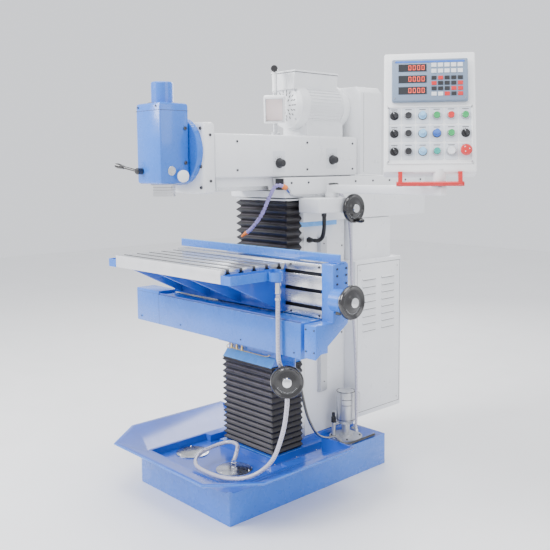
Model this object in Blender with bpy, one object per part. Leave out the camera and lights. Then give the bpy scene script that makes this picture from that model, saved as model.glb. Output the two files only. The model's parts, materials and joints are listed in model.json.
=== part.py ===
"""Universal tool-room milling machine with a swivelling vertical head on a sliding ram.

Metres, +Z up, +X to the operator's right, -Y towards the operator. The origin is the
centre of the base's underside. Every round piece that turns or slides has its origin
on its own joint axis.
"""

import math

import bmesh
import bpy
from mathutils import Matrix, Vector

# ---- driving dimensions -------------------------------------------------------
GAP = 0.0003                       # clearance between pieces that touch

BASE_X, BASE_Y, DECK_Z = 0.30, 0.46, 0.14      # half width, half depth, deck height
TRAY_FLOOR_Z = 0.11
RIM_Z, RIM_X, RIM_FRONT, RIM_REAR = 0.204, 0.44, -0.587, 0.10
PLINTH_X, PLINTH_FRONT = 0.165, -0.116
FOOT_Z = 0.165                     # underside of the column

COLUMN_X, COLUMN_Y0, COLUMN_Y1 = 0.125, 0.07, 0.3797
GUIDE_X, GUIDE_Y0, GUIDE_Y1 = 0.172, -0.04, 0.92
GUIDE_Z0, GUIDE_Z1 = 1.122, 1.312
BELLOWS_X = 0.163

KNEE_X, KNEE_Y0, KNEE_Y1, KNEE_Z0, KNEE_Z1 = 0.155, -0.14, 0.0665, 0.522, 0.998

TABLE_X = 0.35                     # half length of the horizontal table
TABLE_W, TABLE_TOP, TABLE_T = 0.320, 0.993, 0.050
T_PITCH, T_WIDTH, T_NECK, T_HEAD_W, T_HEAD_H = 0.063, 0.014, 0.014, 0.024, 0.010
FACE_Y = -0.207                    # front face of the vertical table
VT_X0, VT_X1, VT_Z0, VT_Z1 = -0.35, 0.55, 0.80, 1.0

BEAM_X, BEAM_Y, BEAM_Z0, BEAM_Z1 = 0.535, -0.31, 0.663, 0.797
BRACKET_X0, BRACKET_X1 = 0.552, 0.611

RAM_X, RAM_Y0, RAM_Y1, RAM_Z0, RAM_Z1 = 0.135, -0.3697, 0.458, 1.315, 1.488
SWIVEL_Z = 1.42
HEAD_X, HEAD_Y0, HEAD_Y1, HEAD_Z0, HEAD_Z1 = 0.08, -0.585, -0.4503, 1.296, 1.60
SPINDLE_Y = -0.515
QUILL_R, QUILL_BORE, SPINDLE_R, NOSE_R = 0.043, 0.0435, 0.030, 0.04445
NOSE_Z = 1.248
SOCKET_R, SOCKET_DEPTH = 0.02222, 0.065        # 7/24 taper

WHEEL_R = 0.0625
Z_WHEEL = Vector((0.470, -0.317, 0.570))
X_WHEEL = Vector((0.690, -0.210, 0.880))
Y_WHEEL = Vector((0.3065, 0.235, 1.179))

ARM_PIVOT = Vector((0.205, 0.210, 1.262))
SWIVEL_POST = Vector((0.755, 0.210, 1.300))
PANEL_YAW, PANEL_TILT = 39.2, -17.0
PANEL_W, PANEL_H, PANEL_D = 0.345, 0.480, 0.075
CONTROL_PITCH_X, CONTROL_PITCH_Z, CONTROL_Z = 0.053, 0.071, 0.152

BLUE = (0.045, 0.205, 0.60)
WHITE = (0.80, 0.81, 0.82)


# ---- scene helpers ------------------------------------------------------------
def clear():
    for obj in list(bpy.data.objects):
        bpy.data.objects.remove(obj, do_unlink=True)


def material(name, color, metallic=0.0, roughness=0.4):
    mat = bpy.data.materials.get(name) or bpy.data.materials.new(name)
    mat.use_nodes = True
    mat.diffuse_color = (*color, 1.0)
    bsdf = mat.node_tree.nodes["Principled BSDF"]
    bsdf.inputs["Base Color"].default_value = (*color, 1.0)
    bsdf.inputs["Metallic"].default_value = metallic
    bsdf.inputs["Roughness"].default_value = roughness
    return mat


PAINT = dict(name="blue_paint", color=BLUE, roughness=0.3)
BODY = dict(name="white_paint", color=WHITE, roughness=0.35)
STEEL = dict(name="ground_steel", color=(0.62, 0.63, 0.65), metallic=1.0, roughness=0.3)
BLACK = dict(name="black_gloss", color=(0.012, 0.012, 0.013), roughness=0.2)
RUBBER = dict(name="bellows_rubber", color=(0.03, 0.028, 0.035), roughness=0.5)


def solid(name, bm, look):
    """A new object from a bmesh, with its faces turned outwards."""
    bmesh.ops.remove_doubles(bm, verts=bm.verts, dist=1e-6)
    bmesh.ops.recalc_face_normals(bm, faces=bm.faces)
    mesh = bpy.data.meshes.new(name)
    bm.to_mesh(mesh)
    bm.free()
    mesh.materials.append(material(**look))
    obj = bpy.data.objects.new(name, mesh)
    bpy.context.scene.collection.objects.link(obj)
    return obj


def prism(name, outline, axis, start, end, look=PAINT):
    """An outline extruded along an axis. X: (y, z) points, Y: (x, z), Z: (x, y)."""
    place = {"X": lambda a, b, c: (c, a, b), "Y": lambda a, b, c: (a, c, b),
             "Z": lambda a, b, c: (a, b, c)}[axis]
    bm = bmesh.new()
    rings = [[bm.verts.new(place(a, b, c)) for a, b in outline] for c in (start, end)]
    count = len(outline)
    for i in range(count):
        j = (i + 1) % count
        bm.faces.new((rings[0][i], rings[0][j], rings[1][j], rings[1][i]))
    bm.faces.new(rings[0][::-1])
    bm.faces.new(rings[1])
    return solid(name, bm, look)


def box(name, x, y, z, look=PAINT, soft=0.0):
    """A box between two limits on each axis, with its edges eased if asked."""
    obj = prism(name, [(x[0], y[0]), (x[1], y[0]), (x[1], y[1]), (x[0], y[1])],
                "Z", z[0], z[1], look)
    return ease(obj, soft)


def ease(obj, width, segments=2):
    if width <= 0:
        return obj
    bm = bmesh.new()
    bm.from_mesh(obj.data)
    edges = [e for e in bm.edges if e.calc_face_angle(0) > 0.5]
    bmesh.ops.bevel(bm, geom=edges, offset=width, segments=segments, profile=0.5,
                    affect="EDGES", clamp_overlap=True)
    bm.to_mesh(obj.data)
    bm.free()
    return obj


def turned(name, profile, look=STEEL, sides=32, matrix=None):
    """A closed (radius, height) profile turned about Z, then placed by a matrix."""
    bm = bmesh.new()
    rings = []
    for r, z in profile:
        if r < 1e-9:
            rings.append([bm.verts.new((0, 0, z))])
            continue
        angles = [2 * math.pi * (k + 0.5) / sides for k in range(sides)]
        rings.append([bm.verts.new((r * math.cos(a), r * math.sin(a), z)) for a in angles])
    for low, high in zip(rings, rings[1:] + rings[:1]):
        if len(low) == 1 and len(high) == 1:
            continue
        for k in range(sides):
            j = (k + 1) % sides
            corners = [low[k % len(low)], low[j % len(low)],
                       high[j % len(high)], high[k % len(high)]]
            corners = [v for i, v in enumerate(corners) if v not in corners[:i]]
            bm.faces.new(corners)
    bmesh.ops.recalc_face_normals(bm, faces=bm.faces)
    obj = solid(name, bm, look)
    obj.data.polygons.foreach_set("use_smooth", [True] * len(obj.data.polygons))
    obj.data.set_sharp_from_angle(angle=math.radians(35))
    if matrix is not None:
        obj.data.transform(matrix)
    return obj


def rod(name, radius, start, end, look=STEEL, sides=24):
    """A plain cylinder between two points."""
    start, end = Vector(start), Vector(end)
    length = (end - start).length
    return turned(name, [(0, 0), (radius, 0), (radius, length), (0, length)], look,
                  sides, along(start, end - start))


def along(point, direction):
    """The matrix that takes +Z to a direction, at a point."""
    turn = Vector(direction).to_track_quat("Z", "Y").to_matrix().to_4x4()
    return Matrix.Translation(Vector(point)) @ turn


def tube(name, points, radius, look=RUBBER, sides=8):
    """A round bar swept along a smooth path through the points."""
    path = smooth_path([Vector(p) for p in points], 4)
    bm = bmesh.new()
    rings = []
    normal = Vector((0, 1, 0.1)).normalized()
    for i, point in enumerate(path):
        ahead = path[min(i + 1, len(path) - 1)] - path[max(i - 1, 0)]
        ahead.normalize()
        normal = (normal - ahead * normal.dot(ahead)).normalized()
        side = ahead.cross(normal)
        rings.append([bm.verts.new(point + radius * (math.cos(a) * normal + math.sin(a) * side))
                      for a in (2 * math.pi * k / sides for k in range(sides))])
    for low, high in zip(rings, rings[1:]):
        for k in range(sides):
            j = (k + 1) % sides
            bm.faces.new((low[k], low[j], high[j], high[k]))
    bm.faces.new(rings[0][::-1])
    bm.faces.new(rings[-1])
    obj = solid(name, bm, look)
    obj.data.polygons.foreach_set("use_smooth", [True] * len(obj.data.polygons))
    return obj


def smooth_path(points, steps):
    """Catmull-Rom points through the given ones."""
    ends = [2 * points[0] - points[1]] + points + [2 * points[-1] - points[-2]]
    found = []
    for a, b, c, d in zip(ends, ends[1:], ends[2:], ends[3:]):
        for k in range(steps):
            t = k / steps
            found.append(0.5 * (2 * b + (c - a) * t + (2 * a - 5 * b + 4 * c - d) * t * t
                                + (3 * b - 3 * c + d - a) * t ** 3))
    return found + [points[-1]]


def boolean(obj, others, operation):
    """Joins the others to obj, or cuts them from it, and removes them."""
    for other in others:
        step = obj.modifiers.new(other.name, "BOOLEAN")
        step.operation, step.solver, step.object = operation, "EXACT", other
        other.hide_render, other.display_type = True, "WIRE"
    bpy.context.view_layer.update()
    graph = bpy.context.evaluated_depsgraph_get()
    mesh = bpy.data.meshes.new_from_object(obj.evaluated_get(graph))
    obj.modifiers.clear()
    old, look = obj.data, obj.data.materials[0]
    obj.data = mesh
    obj.data.name = obj.name
    obj.data.materials.clear()
    obj.data.materials.append(look)
    bpy.data.meshes.remove(old)
    for other in others:
        bpy.data.objects.remove(other, do_unlink=True)
    return obj


def fuse(obj, *others):
    return boolean(obj, others, "UNION")


def cut(obj, *others):
    return boolean(obj, others, "DIFFERENCE")


def set_origin(obj, point):
    """Moves the object's origin to a point on its joint axis without moving the piece."""
    point = Vector(point)
    obj.data.transform(Matrix.Translation(-point))
    obj.location = point
    return obj


# ---- base and column ----------------------------------------------------------
def rim_outline(inset=0.0):
    x, front, rear = RIM_X - inset, RIM_FRONT + inset, RIM_REAR
    step = inset * 0.6
    return [(-x, rear), (-x, -0.41 + step), (-0.30 + step, front), (0.30 - step, front),
            (x, -0.41 + step), (x, rear)]


def flare(name, inset, low_z, high_z, low_inset):
    """The tray's sloping wall: from the tank's top edge out to the rim."""
    bm = bmesh.new()
    x, front = BASE_X - low_inset, -BASE_Y + low_inset
    low = [(-x, RIM_REAR), (-x, front + 0.02), (-x + 0.02, front),
           (x - 0.02, front), (x, front + 0.02), (x, RIM_REAR)]
    rings = [[bm.verts.new((a, b, low_z)) for a, b in low],
             [bm.verts.new((a, b, high_z)) for a, b in rim_outline(inset)]]
    for i in range(6):
        j = (i + 1) % 6
        bm.faces.new((rings[0][i], rings[0][j], rings[1][j], rings[1][i]))
    bm.faces.new(rings[0][::-1])
    bm.faces.new(rings[1])
    return solid(name, bm, PAINT)


def make_base():
    base = box("base_tank", (-BASE_X, BASE_X), (-BASE_Y, BASE_Y), (0, DECK_Z))
    fuse(base, flare("flare", 0.0, DECK_Z - 0.012, RIM_Z, 0.0))
    wall = flare("hollow", 0.006, DECK_Z, RIM_Z + 0.004, 0.012)
    keep_rear = box("keep_rear", (-1, 1), (RIM_REAR - 0.006, 1), (0, 1))
    cut(wall, keep_rear)
    opening = box("opening", (-0.25, 0.25), (0.04, 0.30), (DECK_Z, 0.3))
    recess = box("recess", (-0.27, 0.27), (-0.43, -0.13), (TRAY_FLOOR_Z, 0.3))
    channels = [box(f"channel{s}", (min(s * 0.17, s * 0.235), max(s * 0.17, s * 0.235)),
                    (-0.2, 0.205), (TRAY_FLOOR_Z, 0.17)) for s in (-1, 1)]
    cut(base, wall, opening, recess, *channels)
    foot = box("foot", (-0.128, 0.128), (0.073, 0.44), (0.1, FOOT_Z - GAP), soft=0.004)
    fuse(base, foot)
    pockets = [box(f"pocket{i}", (min(s * 0.04, s * 0.285), max(s * 0.04, s * 0.285)), y,
                   (-0.1, top))
               for i, (s, y, top) in enumerate(
                   (s, y, top) for s in (-1, 1)
                   for y, top in (((-0.445, -0.02), 0.095), ((0.02, 0.445), 0.095)))]
    cut(base, *pockets)
    return base


def make_tray_fittings():
    z = TRAY_FLOOR_Z + GAP
    disc = [(0, 0), (0.072, 0), (0.072, 0.003), (0.070, 0.004), (0, 0.004)]
    turned("suction_cover", [(r * 1.05, h) for r, h in disc], STEEL, 32,
           Matrix.Translation((0.09, -0.262, z)))
    turned("drain_cover", disc, STEEL, 32, Matrix.Translation((-0.185, -0.27, z)))


def make_column():
    column = box("column", (-COLUMN_X, COLUMN_X), (COLUMN_Y0, COLUMN_Y1),
                 (FOOT_Z, GUIDE_Z0 - GAP), BODY, 0.006)
    cut(column, box("core", (-0.095, 0.095), (0.10, 0.35), (0.0, 1.08)))


def make_guide_housing():
    y0, y1, z0, z1 = GUIDE_Y0, GUIDE_Y1, GUIDE_Z0, GUIDE_Z1
    side = [(y0, 1.228), (0.069, 1.228), (0.069, z0), (y1, z0), (y1, z1), (y0, z1)]
    housing = prism("guide_housing", side, "X", -GUIDE_X, GUIDE_X, BODY)
    ease(housing, 0.004)
    way = [(-0.1105, 1.255), (0.1105, 1.255), (0.0905, 1.4), (-0.0905, 1.4)]
    cut(housing, prism("way", way, "Y", -0.2, 1.1))
    cut(housing, box("hollow", (-0.12, 0.12), (0.10, 0.90), (1.0, 1.225)))


def make_cabinet():
    cabinet = box("electric_cabinet", (-0.19, 0.19), (0.38, 0.712), (0.20, 0.93), BODY, 0.006)
    fuse(cabinet, box("upper", (-0.165, 0.165), (0.39, 0.66), (0.9, 1.1197), BODY, 0.005))
    cut(cabinet, box("inside", (-0.187, 0.187), (0.383, 0.709), (0.1, 0.927)),
        box("inside_upper", (-0.162, 0.162), (0.393, 0.657), (0.9, 1.1167)))


def make_pump():
    at = Matrix.Translation((0.205, 0.300, DECK_Z + GAP))
    pump = turned("coolant_pump", [
        (0, 0), (0.074, 0), (0.074, 0.007), (0.030, 0.008), (0.030, 0.016), (0.018, 0.020),
        (0.018, 0.060), (0.033, 0.066), (0.040, 0.078), (0.042, 0.082), (0.042, 0.205),
        (0.038, 0.214), (0.030, 0.218), (0, 0.218)], STEEL, 32, at)
    gland = rod("gland", 0.009, (0.165, 0.262, DECK_Z + 0.005), (0.165, 0.262, 0.205), STEEL, 12)
    link = rod("link", 0.006, (0.165, 0.262, 0.190), (0.19, 0.29, 0.225), STEEL, 12)
    fuse(pump, gland, link)


def make_feed_gearbox():
    gear = box("feed_gearbox", (GUIDE_X + GAP, 0.29), (0.04, 0.262), (1.165, 1.2255), BODY, 0.005)
    hub = rod("hub", 0.026, (0.25, Y_WHEEL.y, Y_WHEEL.z), (Y_WHEEL.x - 0.0165, Y_WHEEL.y, Y_WHEEL.z))
    fuse(gear, hub)


def bellows(name, x, y0, y1, z0, z1, folds, depth, top_plate=0.0):
    """A folded cover whose rear edge stays straight against the column."""
    bm = bmesh.new()
    levels = []
    body_top = z1 - top_plate
    for k in range(2 * folds + 1):
        inset = 0.0 if k % 2 else depth
        levels.append((inset, z0 + (body_top - z0) * k / (2 * folds)))
    if top_plate:
        levels += [(0.001, body_top + 1e-5), (0.001, z1)]
    rings = []
    for inset, z in levels:
        rings.append([bm.verts.new(p) for p in (
            (-x + inset, y0 + inset, z), (x - inset, y0 + inset, z),
            (x - inset, y1, z), (-x + inset, y1, z))])
    for low, high in zip(rings, rings[1:]):
        for i in range(4):
            j = (i + 1) % 4
            bm.faces.new((low[i], low[j], high[j], high[i]))
    bm.faces.new(rings[0][::-1])
    bm.faces.new(rings[-1])
    cover = solid(name, bm, RUBBER)
    return cut(cover, box("inside", (-x + 0.022, x - 0.022), (y0 + 0.022, y1 - 0.012),
                          (z0 - 0.1, z1 + 0.1)))


# ---- knee, tables and their slide ---------------------------------------------
def make_knee():
    side = [(-0.112, KNEE_Z0), (KNEE_Y1, KNEE_Z0), (KNEE_Y1, KNEE_Z1), (-0.03, KNEE_Z1),
            (-0.10, 0.985), (KNEE_Y0, 0.96), (KNEE_Y0, 0.60), (-0.08, 0.585), (-0.08, 0.555)]
    knee = prism("knee", side, "X", -KNEE_X, KNEE_X)
    rails = [box(f"rail{i}", (-0.26, 0.26), (-0.1647, -0.13), z, STEEL)
             for i, z in enumerate([(0.685, 0.735), (0.905, 0.955)])]
    fuse(knee, *rails)
    cut(knee, box("core", (-0.12, 0.12), (-0.10, 0.1), (0.61, 0.95)))
    bracket = prism("shaft_housing", [(-0.028, -0.03), (0.028, -0.03), (0.028, 0.03),
                                      (-0.028, 0.03)], "Z", 0.02, 0.47)
    bracket.data.transform(along(Z_WHEEL, (-1, 1, 0)))
    fuse(knee, bracket)
    return knee


def t_slot(across, surface, outward):
    """The six inner corners of a T-slot whose mouth is centred on across."""
    w, h = T_WIDTH / 2, T_HEAD_W / 2
    neck, deep = surface - outward * T_NECK, surface - outward * (T_NECK + T_HEAD_H)
    return [(across - w, surface), (across - w, neck), (across - h, neck), (across - h, deep),
            (across + h, deep), (across + h, neck), (across + w, neck), (across + w, surface)]


def make_vertical_table():
    rear = -0.165
    outline = [(FACE_Y, VT_Z1), (rear, VT_Z1), (rear, VT_Z0), (FACE_Y, VT_Z0)]
    for k in range(3):
        slot = [(b, a) for a, b in t_slot(0.837 + T_PITCH * k, FACE_Y, -1)]
        outline += slot
    prism("vertical_table", outline, "X", VT_X0, VT_X1, STEEL)


def make_angle_table():
    front, rear = FACE_Y - TABLE_W, FACE_Y - GAP
    middle = (front + rear) / 2
    outline = [(rear, TABLE_TOP), (rear, 0.805), (rear - 0.022, 0.805),
               (rear - 0.022, TABLE_TOP - TABLE_T), (front, TABLE_TOP - TABLE_T),
               (front, TABLE_TOP)]
    for k in range(-2, 3):
        outline += t_slot(middle + T_PITCH * k, TABLE_TOP, 1)
    table = prism("angle_table", outline, "X", -TABLE_X, TABLE_X, STEEL)
    rib = [(rear - 0.02, 0.81), (rear - 0.02, 0.945), (front + 0.03, 0.945), (front + 0.05, 0.93)]
    ribs = [prism(f"rib{i}", rib, "X", x - 0.009, x + 0.009)
            for i, x in enumerate((-0.3, -0.1, 0.1, 0.335))]
    fuse(table, *ribs)


def make_end_trough(name, side):
    front, rear = FACE_Y - TABLE_W, FACE_Y - 0.065
    near, far = TABLE_X + GAP, TABLE_X + 0.056
    x = sorted((side * near, side * far))
    trough = box(name, x, (front, rear), (0.942, 0.975))
    hollow = box("hollow", (x[0] + 0.003, x[1] - 0.003), (front + 0.003, rear - 0.003),
                 (0.946, 1.0))
    if side > 0:
        lobe = rod("lobe", 0.026, (0.424, -0.328, 0.942), (0.424, -0.328, 0.975), PAINT)
        pipe = rod("pipe", 0.010, (0.436, -0.328, 0.895), (0.436, -0.328, 0.944), PAINT, 16)
        fuse(trough, lobe, pipe)
        inner = rod("inner", 0.0225, (0.424, -0.328, 0.946), (0.424, -0.328, 1.0), PAINT)
        cut(trough, hollow, inner)
    else:
        cut(trough, hollow)
    return trough


def make_chip_guard():
    guard = box("chip_guard", (-0.35, 0.612), (-0.187, -0.181), (1.0078, 1.041))
    lip = box("lip", (-0.35, 0.612), (-0.182, -0.150), (1.0078, 1.0138))
    fuse(guard, lip)


def make_apron():
    outline = [(BEAM_Y, BEAM_Z0), (-0.166, BEAM_Z0), (-0.166, BEAM_Z1), (BEAM_Y, BEAM_Z1)]
    apron = prism("apron_beam", outline, "X", -BEAM_X, BEAM_X)
    ease(apron, 0.003)
    box_end = box("end_box", (-BEAM_X, -0.36), (BEAM_Y, -0.215), (0.78, 0.812), soft=0.003)
    fuse(apron, box_end)
    cut(apron, box("hollow", (-0.515, 0.515), (-0.295, -0.18), (0.6, 0.775)))


def make_end_bracket():
    outline = [(BEAM_Y, 0.673), (BEAM_Y, 0.797), (FACE_Y - 0.012, 0.797), (FACE_Y - 0.012, 1.007),
               (-0.14, 1.007), (-0.14, 0.785)]
    bracket = prism("end_bracket", outline, "X", BRACKET_X0, BRACKET_X1)
    ease(bracket, 0.003)


def make_feed_hub():
    """The x feed's bearing and its graduated dial, seen beside the handwheel."""
    turned("x_feed_hub", [(0, 0), (0.040, 0), (0.040, 0.052), (0.036, 0.055), (0.036, 0.068),
                          (0.034, 0.070), (0, 0.070)], STEEL, 32,
           along((BRACKET_X1 + GAP, X_WHEEL.y, X_WHEEL.z), (1, 0, 0)))


def handwheel(name, centre, direction, crank=False):
    """A dished wheel, centred on its axis, with the rim's back at the centre point."""
    profile = [(0, -0.006), (0.014, -0.006), (0.014, 0.004), (0.050, -0.004), (0.055, -0.008),
               (0.0605, -0.007), (WHEEL_R, -0.001), (WHEEL_R, 0.007), (0.059, 0.011),
               (0.053, 0.009), (0.048, 0.004), (0.022, 0.011), (0.018, 0.020), (0, 0.020)]
    wheel = turned(name, profile, BLACK, 36, along(centre, direction))
    if crank:
        grip = turned("grip", [(0, 0.0), (0.005, 0.0), (0.005, 0.016), (0.009, 0.020),
                               (0.011, 0.035), (0.009, 0.052), (0.004, 0.056), (0, 0.056)],
                      BLACK, 16, along(Vector(centre) + Vector((0, 0, -0.050)), direction))
        fuse(wheel, grip)
    return set_origin(wheel, centre)


# ---- ram and head -------------------------------------------------------------
def make_ram():
    ram = box("ram", (-RAM_X, RAM_X), (RAM_Y0, RAM_Y1), (RAM_Z0, RAM_Z1), BODY, 0.012)
    rail = [(-0.108, 1.262), (0.108, 1.262), (0.0935, 1.325), (-0.0935, 1.325)]
    fuse(ram, prism("rail", rail, "Y", -0.34, 0.45, BODY))
    cut(ram, box("core", (-0.08, 0.08), (-0.30, 0.40), (1.2, 1.45)))


def make_flange():
    flange = box("swivel_flange", (-0.14, 0.14), (-0.425, -0.370), (1.255, 1.529), BODY, 0.014)
    ring = turned("ring", [(0, 0), (0.130, 0), (0.130, 0.022), (0.127, 0.0245), (0, 0.0245)],
                  PAINT, 48, along((0, -0.424, SWIVEL_Z), (0, -1, 0)))
    fuse(flange, ring)


def make_rear_cover():
    outline = [(-0.15, 1.318), (0.15, 1.318), (0.15, 1.69), (0.125, 1.715), (-0.125, 1.715),
               (-0.15, 1.69)]
    cover = prism("belt_cover", outline, "Y", RAM_Y1 + GAP, 0.61, BODY)
    ease(cover, 0.005)
    cut(cover, box("inside", (-0.145, 0.145), (RAM_Y1 + 0.005, 0.605), (1.323, 1.680)),
        box("entry", (-0.05, 0.05), (RAM_Y1 - 0.01, RAM_Y1 + 0.01), (1.35, 1.45)))


def make_motor():
    motor = turned("drive_motor", [
        (0, 0), (0.070, 0), (0.098, 0.012), (0.102, 0.050), (0.102, 0.060), (0.097, 0.062),
        (0.097, 0.270), (0.102, 0.272), (0.102, 0.300), (0.090, 0.3277), (0, 0.3277)],
        BODY, 32, along((0, 0.130, 1.622), (0, 1, 0)))
    foot = box("foot", (-0.075, 0.075), (0.19, 0.42), (RAM_Z1 + GAP, 1.56), BODY)
    top = [(-0.065, 1.69), (0.065, 1.69), (0.075, 1.7697), (-0.075, 1.7697)]
    fuse(motor, foot, prism("terminal_box", top, "Y", 0.12, 0.39, BODY))
    cut(motor, rod("inside", 0.078, (0, 0.20, 1.622), (0, 0.47, 1.622)))


def selector_knob(name, y, z):
    knob = turned(name, [(0, 0.0), (0.021, 0.0), (0.021, 0.006), (0.017, 0.009),
                         (0.015, 0.026), (0.012, 0.029), (0, 0.029)], BLACK, 24,
                  along((RAM_X + GAP, y, z), (1, 0, 0)))
    set_origin(knob, (RAM_X + GAP, y, z))


def make_head():
    head = box("head_housing", (-HEAD_X, HEAD_X), (HEAD_Y0, HEAD_Y1), (HEAD_Z0, HEAD_Z1),
               PAINT, 0.012)
    cap = turned("cap", [(0, -0.01), (0.042, -0.01), (0.042, 0.076), (0.039, 0.080),
                         (0.030, 0.081), (0, 0.081)], PAINT, 32,
                 Matrix.Translation((0, SPINDLE_Y, HEAD_Z1)))
    fuse(head, cap)
    bore = turned("bore", [(0, -0.05), (QUILL_BORE, -0.05), (QUILL_BORE, 0.25), (0, 0.25)],
                  STEEL, 32, Matrix.Translation((0, SPINDLE_Y, HEAD_Z0)))
    cut(head, bore)
    set_origin(head, (0, HEAD_Y1, SWIVEL_Z))


def make_quill():
    bottom, top = 0.0146, 0.236
    quill = turned("quill", [(SPINDLE_R + 0.0005, bottom), (QUILL_R, bottom), (QUILL_R, top),
                             (SPINDLE_R + 0.0005, top)], STEEL, 32,
                   Matrix.Translation((0, SPINDLE_Y, NOSE_Z)))
    set_origin(quill, (0, SPINDLE_Y, NOSE_Z))


def make_spindle():
    inner = SOCKET_R - SOCKET_DEPTH * 7 / 48
    spindle = turned("spindle", [
        (SOCKET_R, 0), (NOSE_R, 0), (NOSE_R, 0.0143), (SPINDLE_R, 0.0143),
        (SPINDLE_R, 0.225), (0, 0.225), (0, 0.110), (0.0085, 0.105), (0.0085, 0.070),
        (inner, SOCKET_DEPTH)], STEEL, 32, Matrix.Translation((0, SPINDLE_Y, NOSE_Z)))
    set_origin(spindle, (0, SPINDLE_Y, NOSE_Z))


def make_quill_lever():
    pivot = Vector((-0.045, HEAD_Y0 - GAP, 1.345))
    lever = turned("quill_lever", [(0, 0), (0.013, 0), (0.013, 0.022), (0.010, 0.026),
                                   (0, 0.026)], BLACK, 20, along(pivot, (0, -1, 0)))
    arm = rod("arm", 0.0055, pivot + Vector((0, -0.016, 0)),
              pivot + Vector((-0.075, -0.045, 0.018)), BLACK, 12)
    tip = turned("tip", [(0, -0.02), (0.007, -0.018), (0.0105, 0.01), (0.008, 0.022),
                         (0, 0.025)], BLACK, 16,
                 along(pivot + Vector((-0.078, -0.046, 0.0185)), (-0.075, -0.029, 0.018)))
    fuse(lever, arm, tip)
    set_origin(lever, pivot)


# ---- work lamp ----------------------------------------------------------------
LAMP_BASE = Vector((0.0, 0.070, RAM_Z1 + GAP))
LAMP_ELBOW = Vector((0.0, 0.070, 1.772))
LAMP_WRIST = Vector((0.045, 0.025, 1.660))


def make_lamp():
    lower = turned("lamp_mast", [(0, 0), (0.022, 0), (0.022, 0.014), (0.011, 0.018),
                                 (0.010, 0.268), (0, 0.268)], STEEL, 20,
                   Matrix.Translation(LAMP_BASE))
    set_origin(lower, LAMP_BASE)
    elbow = rod("lamp_arm", 0.015, LAMP_ELBOW + Vector((-0.012, 0.012, 0)),
                LAMP_ELBOW + Vector((0.022, -0.022, 0)), BODY, 20)
    limb = rod("limb", 0.0085, LAMP_ELBOW + Vector((0.016, -0.016, 0)),
               LAMP_WRIST + Vector((0.002, -0.002, 0.012)), BODY, 12)
    fuse(elbow, limb)
    set_origin(elbow, LAMP_ELBOW)
    head = box("lamp_head", (-0.045, 0.045), (-0.022, 0.022), (-0.115, 0.0), BODY, 0.006)
    cut(head, box("window", (-0.036, 0.036), (-0.03, 0.012), (-0.106, -0.012)))
    head.data.transform(Matrix.Translation(LAMP_WRIST + Vector((0.004, -0.004, -0.0035)))
                        @ Matrix.Rotation(math.radians(45), 4, "Z")
                        @ Matrix.Rotation(math.radians(12), 4, "X"))
    set_origin(head, LAMP_WRIST)


# ---- control panel ------------------------------------------------------------
def panel_matrix():
    """Panel space: X right, Z up along the face, -Y out of the face, origin bottom middle."""
    return (Matrix.Translation((0.742, 0.170, 1.332))
            @ Matrix.Rotation(math.radians(PANEL_YAW), 4, "Z")
            @ Matrix.Rotation(math.radians(PANEL_TILT), 4, "X"))


def make_panel_arm():
    arm = box("panel_arm", (0.190, 0.777), (0.190, 0.230), (1.2442, 1.2797), BODY, 0.004)
    plate = rod("plate", 0.030, (0.205, 0.210, 1.2262), (0.205, 0.210, 1.246), BODY)
    fuse(arm, plate)
    cut(arm, box("side", (0.0, 0.1725), (0, 1), (1, 2)))
    set_origin(arm, ARM_PIVOT)


def make_panel():
    place = panel_matrix()
    panel = box("panel_box", (-PANEL_W / 2, PANEL_W / 2), (0, PANEL_D), (0, PANEL_H), BODY, 0.008)
    inside = box("inside", (-PANEL_W / 2 + 0.004, PANEL_W / 2 - 0.004), (0.004, PANEL_D - 0.004),
                 (0.004, PANEL_H - 0.004))
    holes = []
    for x, z, kind, label in control_spots():
        if HOLES.get(kind):
            holes.append(rod(f"hole_{label}", HOLES[kind], (x, -0.01, z), (x, 0.01, z)))
    cut(panel, inside, *holes)
    panel.data.transform(place)
    post = rod("post", 0.024, (0.755, 0.210, 1.280), (0.755, 0.210, 1.345), BLACK)
    fuse(panel, post)
    set_origin(panel, (0.755, 0.210, 1.280))
    display = box("readout", (-0.1425, 0.1425), (-0.022, -GAP), (0.275, 0.445), BLACK, 0.005)
    display.data.transform(place)
    legs = [box(f"leg{s}", (s * 0.11 - 0.008, s * 0.11 + 0.008), (-0.012, 0.012),
                (-0.052, -GAP), BODY) for s in (-1, 1)]
    bar = rod("panel_handle", 0.009, (-0.125, 0, -0.045), (0.125, 0, -0.045), BLACK, 16)
    fuse(bar, *legs)
    bar.data.transform(place)


BUTTON = [(0, -0.004), (0.0125, -0.004), (0.0125, 0.010), (0.0115, 0.012), (0, 0.012)]
BIG = [(0, -0.004), (0.0150, -0.004), (0.0150, 0.010), (0.0135, 0.0135), (0, 0.0135)]
STOP = [(0, -0.004), (0.0110, -0.004), (0.0110, 0.012), (0.0215, 0.014), (0.0215, 0.022),
        (0.017, 0.028), (0, 0.030)]
KNOB = [(0, 0), (0.0150, 0), (0.0150, 0.007), (0.0100, 0.008), (0.0090, 0.030), (0, 0.030)]
SELECTOR = [(0, 0), (0.0145, 0), (0.0145, 0.007), (0, 0.007)]
SHAPES = {"button": BUTTON, "big": BIG, "stop": STOP, "knob": KNOB, "selector": SELECTOR}
HOLES = {"button": 0.0135, "big": 0.0160, "stop": 0.0120}
CONTROLS = [
    [("selector", "door_mode"), ("button", "coolant"), ("knob", "speed"),
     ("button", "start"), ("button", "halt"), ("button", "cycle")],
    [("selector", "lamp_switch"), ("button", "lubricate"), ("knob", "feed"),
     ("knob", "rapid"), ("button", "spindle_on"), ("selector", "axis")],
    [("selector", "power"), ("button", "clamp"), ("knob", "jog"),
     ("button", "reset"), ("big", "brake"), ("stop", "emergency")],
]


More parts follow.
